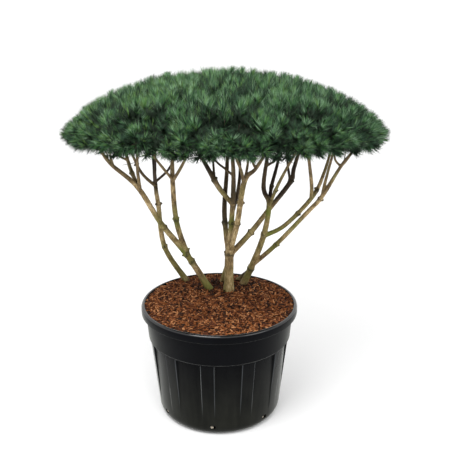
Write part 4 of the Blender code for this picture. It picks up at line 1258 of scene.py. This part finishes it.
def grow_fill_shoots(space, roots, headings, lengths):
    """More shoots over the parts of a mass that the outer ones leave bare."""
    index = np.arange(SPOT_COUNT)
    ratio = SPOT_EDGE * np.sqrt((index + 0.5) / SPOT_COUNT)
    angle = index * GOLDEN_ANGLE
    spots = CROWN_CENTRE + ratio[:, None] * CROWN_HALF * np.column_stack([np.cos(angle), np.sin(angle)])
    covered = (roots + headings * lengths[:, None] * 0.7)[:, :2]
    bare = np.linalg.norm(spots[:, None] - covered[None], axis=2).min(axis=1) > BARE_WIDTH
    inside = space.room(spots) > 0.0
    spots, ratio = spots[bare & inside], ratio[bare & inside]
    count = len(spots)
    middles = np.column_stack([spots, dome_height(*spots.T) - FILL_SINK + dice.uniform(*FILL_JITTER, count)])
    middles[:, 2] -= np.where(hollow_depth(middles + (0.0, 0.0, FILL_SINK / 2)) > 0.0, HOLLOW_DROP, 0.0)
    lean = np.clip((ratio - FILL_LEAN[0]) / (FILL_LEAN[1] - FILL_LEAN[0]), 0.0, 1.0)[:, None]
    headings = outward_from_crown(middles) * lean + np.array((0.0, 0.0, 1.0)) * (1.05 - lean)
    headings = unit(headings + dice.normal(0, 0.15, (count, 3)))
    lengths = SHOOT_LENGTH * dice.uniform(0.8, 1.1, count)
    return middles - headings * lengths[:, None] / 2, headings, lengths


# %% [markdown]
# Twigs join the shoots to the bough. From the bough's tip a stem climbs into the mass and forks, and forks
# again, each time sharing out the shoots still ahead of it, until one twig leads to each. A twig's width
# follows the count of shoots that it feeds.

# %% Crown: twigs
TWIG_WIDTH = 0.0011
TWIG_SIDES = 4
TWIG_STEP = 0.040
SHOOT_WIDTHS = np.array((0.0014, 0.0012, 0.0009))


def share_out(roots):
    """Split a set of places in two along its longest direction."""
    offsets = roots - roots.mean(axis=0)
    longest = np.linalg.svd(offsets, full_matrices=False)[2][0]
    order = np.argsort(offsets @ longest)
    half = len(order) // 2
    return order[:half], order[half:]


def grow_twigs(start, heading, roots, headings, indices):
    """Bent tubes from a point to all the shoots that it feeds."""
    width = TWIG_WIDTH * (0.8 + 0.42 * math.sqrt(len(indices)))
    if len(indices) == 1:
        end = roots[indices[0]]
        span = np.linalg.norm(end - start)
        bend = (start + end) / 2 + heading * span * 0.12 - headings[indices[0]] * span * 0.16
        path, widths = smooth_path([start, bend, end], (width, width * 0.9, width * 0.8), TWIG_STEP)
        yield tube_arrays(path, widths, TWIG_SIDES)
        return
    centre = roots[indices].mean(axis=0)
    way = centre - start
    end = start + way * (0.42 if len(indices) > 3 else 0.55)
    bend = (start + end) / 2 + heading * np.linalg.norm(way) * 0.06
    path, widths = smooth_path([start, bend, end], (width * 1.08, width, width * 0.95), TWIG_STEP)
    yield tube_arrays(path, widths, TWIG_SIDES)
    new_heading = unit(path[-1] - path[-2])
    for part in share_out(roots[indices]):
        yield from grow_twigs(end, new_heading, roots, headings, indices[part])


# %% [markdown]
# Scots pine needles stand all round the shoot, about six centimetres long. Each is a slim closed dart of
# four faces, widest at its foot. They are grown in sprays of a few that lean much the same way, as they do
# once rain and shears have been over them: last year's sprays stand out along the shoot's lower part, and
# this year's lean forward round its tip. Needles that would pass the clipped dome are cut short there.

# %% Crown: sprays of needles
NEEDLE_LENGTH = 0.062
NEEDLE_WIDTH = 0.0034
SHADED_WIDTH = 0.0044       # the dark old ones are thicker set, and close the crown's inside
NEEDLES_IN_SPRAY = 3
SPRAY_SPREAD = math.radians(6)
LEAN_SPREAD = 7             # degrees
FOOT_SCATTER = 0.0022
UPTURN = 0.08
CLIP_SLACK = 0.012
CLIP_BELOW = 0.008
HOLLOW_OPEN = 0.32
# how many sprays, from which part of the shoot to which, and how far they lean from it there, in degrees
OLD_SPRAYS = (23, 0.05, 0.70, 76, 46)
NEW_SPRAYS = (35, 0.45, 1.00, 54, 8)
FILL_SPRAYS = (33, 0.10, 1.00, 72, 10)
INNER_SPRAYS = (21, 0.05, 1.00, 75, 15)


def clip_needles(bases, tips):
    """Shorten needles that pass the dome, the crown's edge or its underside."""
    for _ in range(4):
        x, y, z = tips.T
        wrong = (z > dome_height(x, y) + CLIP_SLACK) | (crown_ratio(x, y) > 1.0 + CLIP_SLACK)
        wrong = wrong | (z < underside_height(x, y) - CLIP_BELOW)
        tips[wrong] = bases[wrong] + (tips[wrong] - bases[wrong]) * 0.85
    x, y, z = bases.T
    hangs = z < underside_height(x, y) - CLIP_BELOW
    return tips, ~(wrong | hangs)


def grow_sprays(roots, headings, lengths, kind):
    """Feet and directions of the sprays on many shoots."""
    each, first, last, first_lean, last_lean = kind
    count = len(roots) * each
    shoot = np.repeat(np.arange(len(roots)), each)
    part = np.tile((np.arange(each) + 0.5) / each, len(roots))
    feet = roots[shoot] + headings[shoot] * (lengths[shoot] * (first + (last - first) * part))[:, None]
    side, other = side_directions(headings[shoot])
    angle = np.tile(np.arange(each) * GOLDEN_ANGLE, len(roots)) + shoot * 1.7 + dice.normal(0, 0.3, count)
    lean = np.radians(first_lean + (last_lean - first_lean) * part + dice.normal(0, LEAN_SPREAD, count))
    outward = side * np.cos(angle)[:, None] + other * np.sin(angle)[:, None]
    ways = headings[shoot] * np.cos(lean)[:, None] + outward * np.sin(lean)[:, None]
    return feet, unit(ways + np.array((0, 0, UPTURN)))


def fan_needles(feet, ways, kind):
    """Bases and tips of the needles of each spray, and which spray each is in."""
    spray = np.repeat(np.arange(len(feet)), NEEDLES_IN_SPRAY)
    count = len(spray)
    bases = feet[spray] + dice.normal(0, FOOT_SCATTER, (count, 3))
    turned = unit(ways[spray] + dice.normal(0, math.tan(SPRAY_SPREAD), (count, 3)))
    tips = bases + turned * (NEEDLE_LENGTH * dice.uniform(0.80, 1.10, count))[:, None]
    tips, kept = clip_needles(bases, tips)
    if kind != INNER_SPRAYS:
        kept = kept & (hollow_depth((bases + tips) / 2) < HOLLOW_OPEN)
    return bases[kept], tips[kept], spray[kept]


def needle_arrays(bases, tips, width):
    """One slim closed dart from each base to its tip."""
    along = unit(tips - bases)
    side, other = side_directions(along)
    turn = dice.uniform(0, math.tau, len(bases))
    corners = []
    for index in range(3):
        angle = (turn + index * math.tau / 3)[:, None]
        corners.append(bases + (side * np.cos(angle) + other * np.sin(angle)) * (width / 2))
    points = np.stack([*corners, tips], axis=1).reshape(-1, 3)
    dart = np.array([(0, 1, 3), (1, 2, 3), (2, 0, 3), (2, 1, 0)])
    triangles = dart[None] + 4 * np.arange(len(bases))[:, None, None]
    return points, triangles.reshape(-1, 3)


# %% [markdown]
# The colour of a spray depends on how much light it has: more on top and at the crown's very edge, less on
# the slope between, none in the hollows, and more or less by the vigour of its own shoot. Sprays in light
# are green, fresh or pale with bloom, and the old, lower and inner ones are dark. Each spray gets one tone,
# each tone is one plain colour, and the needles of each tone are joined.

# %% Crown: grow the masses and deal out the tones
NEEDLE_TONES = {
    "needles_deep": (0.008, 0.019, 0.008),
    "needles_blue": (0.028, 0.072, 0.036),
    "needles_green": (0.054, 0.146, 0.045),
    "needles_pale": (0.165, 0.285, 0.158),
    "needles_fresh": (0.100, 0.200, 0.048),
}
# how often each tone is dealt to a spray in the shade and in full light
OLD_CHANCES = ((0.63, 0.27, 0.08, 0.02, 0.0), (0.20, 0.36, 0.32, 0.10, 0.02))
NEW_CHANCES = ((0.35, 0.36, 0.20, 0.09, 0.0), (0.06, 0.22, 0.34, 0.28, 0.10))
FILL_CHANCES = ((0.85, 0.15, 0.0, 0.0, 0.0), (0.60, 0.30, 0.10, 0.0, 0.0))
INNER_CHANCES = ((0.95, 0.05, 0.0, 0.0, 0.0), (0.75, 0.20, 0.05, 0.0, 0.0))
SLOPE_LIGHT = ((0.0, 0.60, 0.74, 0.88, 0.97), (1.0, 1.0, 0.56, 0.95, 1.70))     # by how far out it stands
VIGOUR = (0.06, 0.24)       # a shoot's own share of light: the middle value, and how much it varies
SUNNY_CHANCE = 0.30         # of a fresh tone on the left, which gets the most sun
MOST_NEEDLES = 48000        # in one piece, so that it stays under 200,000 triangles


def deal_tones(feet, ways, each, chances):
    """Choose a tone for each spray from its place, and from how vigorous its shoot is."""
    x, y, z = feet.T
    low = underside_height(x, y)
    height = (z - low) / (dome_height(x, y) - low)
    vigour = np.repeat(dice.normal(*VIGOUR, len(feet) // each), each)
    light = (height * 0.64 + 0.10 + ways[:, 2] * 0.22) * np.interp(crown_ratio(x, y), *SLOPE_LIGHT) + vigour
    light = np.clip(light + dice.normal(0, 0.08, len(feet)), 0, 1)
    light = np.where(hollow_depth(feet + ways * NEEDLE_LENGTH * 0.5) > 0.05, 0.0, light)
    shady, bright = (np.array(row) for row in chances)
    mixed = shady * (1 - light[:, None]) + bright * light[:, None]
    pick = (mixed.cumsum(axis=1) < dice.uniform(0, 1, (len(feet), 1))).sum(axis=1)
    sunny = np.clip(0.25 - (x - CROWN_CENTRE[0]) / CROWN_HALF[0], 0, 1) * light ** 2
    pick = np.where((pick < 3) & (dice.uniform(0, 1, len(feet)) < SUNNY_CHANCE * sunny), 4, pick)
    return np.array(list(NEEDLE_TONES))[np.minimum(pick, len(NEEDLE_TONES) - 1)]


twigs = []
needles = {tone: [] for tone in NEEDLE_TONES}


def clothe(shoots, kind, chances):
    """Grow the sprays of one kind on each shoot and file their needles by tone."""
    feet, ways = grow_sprays(*shoots, kind)
    tones = deal_tones(feet, ways, kind[0], chances)
    bases, tips, spray = fan_needles(feet, ways, kind)
    for tone in NEEDLE_TONES:
        chosen = tones[spray] == tone
        needles[tone].append((bases[chosen], tips[chosen]))


for space in spaces:
    places, _ = limb_paths[space.limb]
    tip, heading = places[-1], unit(places[-1] - places[-3])
    outer = grow_outer_shoots(space)
    inner = grow_inner_shoots(space)
    fill = grow_fill_shoots(space, *outer)
    roots, headings, lengths = (np.concatenate(sets) for sets in zip(outer, inner, fill))
    twigs += grow_twigs(tip, heading, roots, headings, np.arange(len(roots)))
    shoot_ends = roots + headings * lengths[:, None]
    for root, end in zip(roots, shoot_ends):
        twigs.append(tube_arrays(np.linspace(root, end, 3), SHOOT_WIDTHS, TWIG_SIDES))
    clothe(outer, OLD_SPRAYS, OLD_CHANCES)
    clothe(outer, NEW_SPRAYS, NEW_CHANCES)
    clothe(inner, INNER_SPRAYS, INNER_CHANCES)
    clothe(fill, FILL_SPRAYS, FILL_CHANCES)
print("needles", sum(len(bases) for pairs in needles.values() for bases, _ in pairs))

# %% [markdown]
# Twigs share one brown finish, and needles have one for each tone: a plain colour with a faint gloss.

# %% Crown: twigs and needles as pieces
twig_finish, _ = speckled(
    "twig_bark", 0.8, (160.0, 3.0), (0.35, (0.022, 0.015, 0.010)), (0.70, (0.075, 0.052, 0.030)))
twig_piece = piece_from_arrays("crown_twigs", *join_arrays(twigs))
twig_piece.data.shade_smooth()
finish_piece(twig_piece, twig_finish, "stem_bark")

hidden = list(CARRIERS)
for tone, colour in NEEDLE_TONES.items():
    needle_finish = Finish(tone, base_color=colour, roughness=0.55, specular_ior_level=0.2)
    bases, tips = (np.vstack(rows) for rows in zip(*needles[tone]))
    width = SHADED_WIDTH if tone == "needles_deep" else NEEDLE_WIDTH
    for number, start in enumerate(range(0, len(bases), MOST_NEEDLES)):
        some = slice(start, start + MOST_NEEDLES)
        piece = piece_from_arrays(f"{tone}_{number + 1}", *needle_arrays(bases[some], tips[some], width))
        finish_piece(piece, needle_finish, "needles", *hidden)
        hidden = []

# %% [markdown]
# The plant stands on a pale studio floor under a white sky, with a broad soft lamp on its left and a weaker
# one on its right. The camera is a little above the crown and looks down on it.

# %% Floor, light and camera
CAMERA_PLACE = (0.0351, -3.0947, 1.990)
CAMERA_PITCH = math.radians(72.43)
SENSOR_WIDTH = 36.0
FOCAL_PIXELS = 640.0
FRAME_PIXELS = 452.0
FLOOR_SIZE = 60
FLOOR_SINK = 0.001
SKY_STRENGTH = 1.13

deselect_all()
bpy.ops.mesh.primitive_plane_add(size=FLOOR_SIZE, location=(0, 0, -FLOOR_SINK))
floor = bpy.context.object
floor.name = "studio_floor"
floor_finish = Finish("studio_floor", base_color=(0.92, 0.92, 0.92), roughness=0.9)
floor.data.materials.append(floor_finish.material)

world = bpy.data.worlds.new("studio")
bpy.context.scene.world = world
world.use_nodes = True
sky = world.node_tree.nodes["Background"].inputs
sky["Color"].default_value = (1.0, 1.0, 1.0, 1.0)
sky["Strength"].default_value = SKY_STRENGTH
bpy.context.scene.view_settings.view_transform = "Standard"


def soft_light(name, place, aim, size, power):
    light = bpy.data.lights.new(name, "AREA")
    light.shape = "DISK"
    light.size = size
    light.energy = power
    holder = bpy.data.objects.new(name, light)
    holder.location = place
    holder.rotation_euler = (Vector(aim) - Vector(place)).to_track_quat("-Z", "Y").to_euler()
    bpy.context.scene.collection.objects.link(holder)


soft_light("key", (-1.1, -1.9, 4.8), (0.0, 0.1, 1.0), 2.6, 140)
soft_light("fill", (2.8, -2.0, 3.0), (0.0, 0.1, 0.9), 2.2, 25)

camera_data = bpy.data.cameras.new("camera")
camera_data.sensor_width = SENSOR_WIDTH
camera_data.lens = FOCAL_PIXELS / FRAME_PIXELS * SENSOR_WIDTH
camera = bpy.data.objects.new("camera", camera_data)
camera.location = CAMERA_PLACE
camera.rotation_euler = (CAMERA_PITCH, 0.0, 0.0)
bpy.context.scene.collection.objects.link(camera)
bpy.context.scene.camera = camera
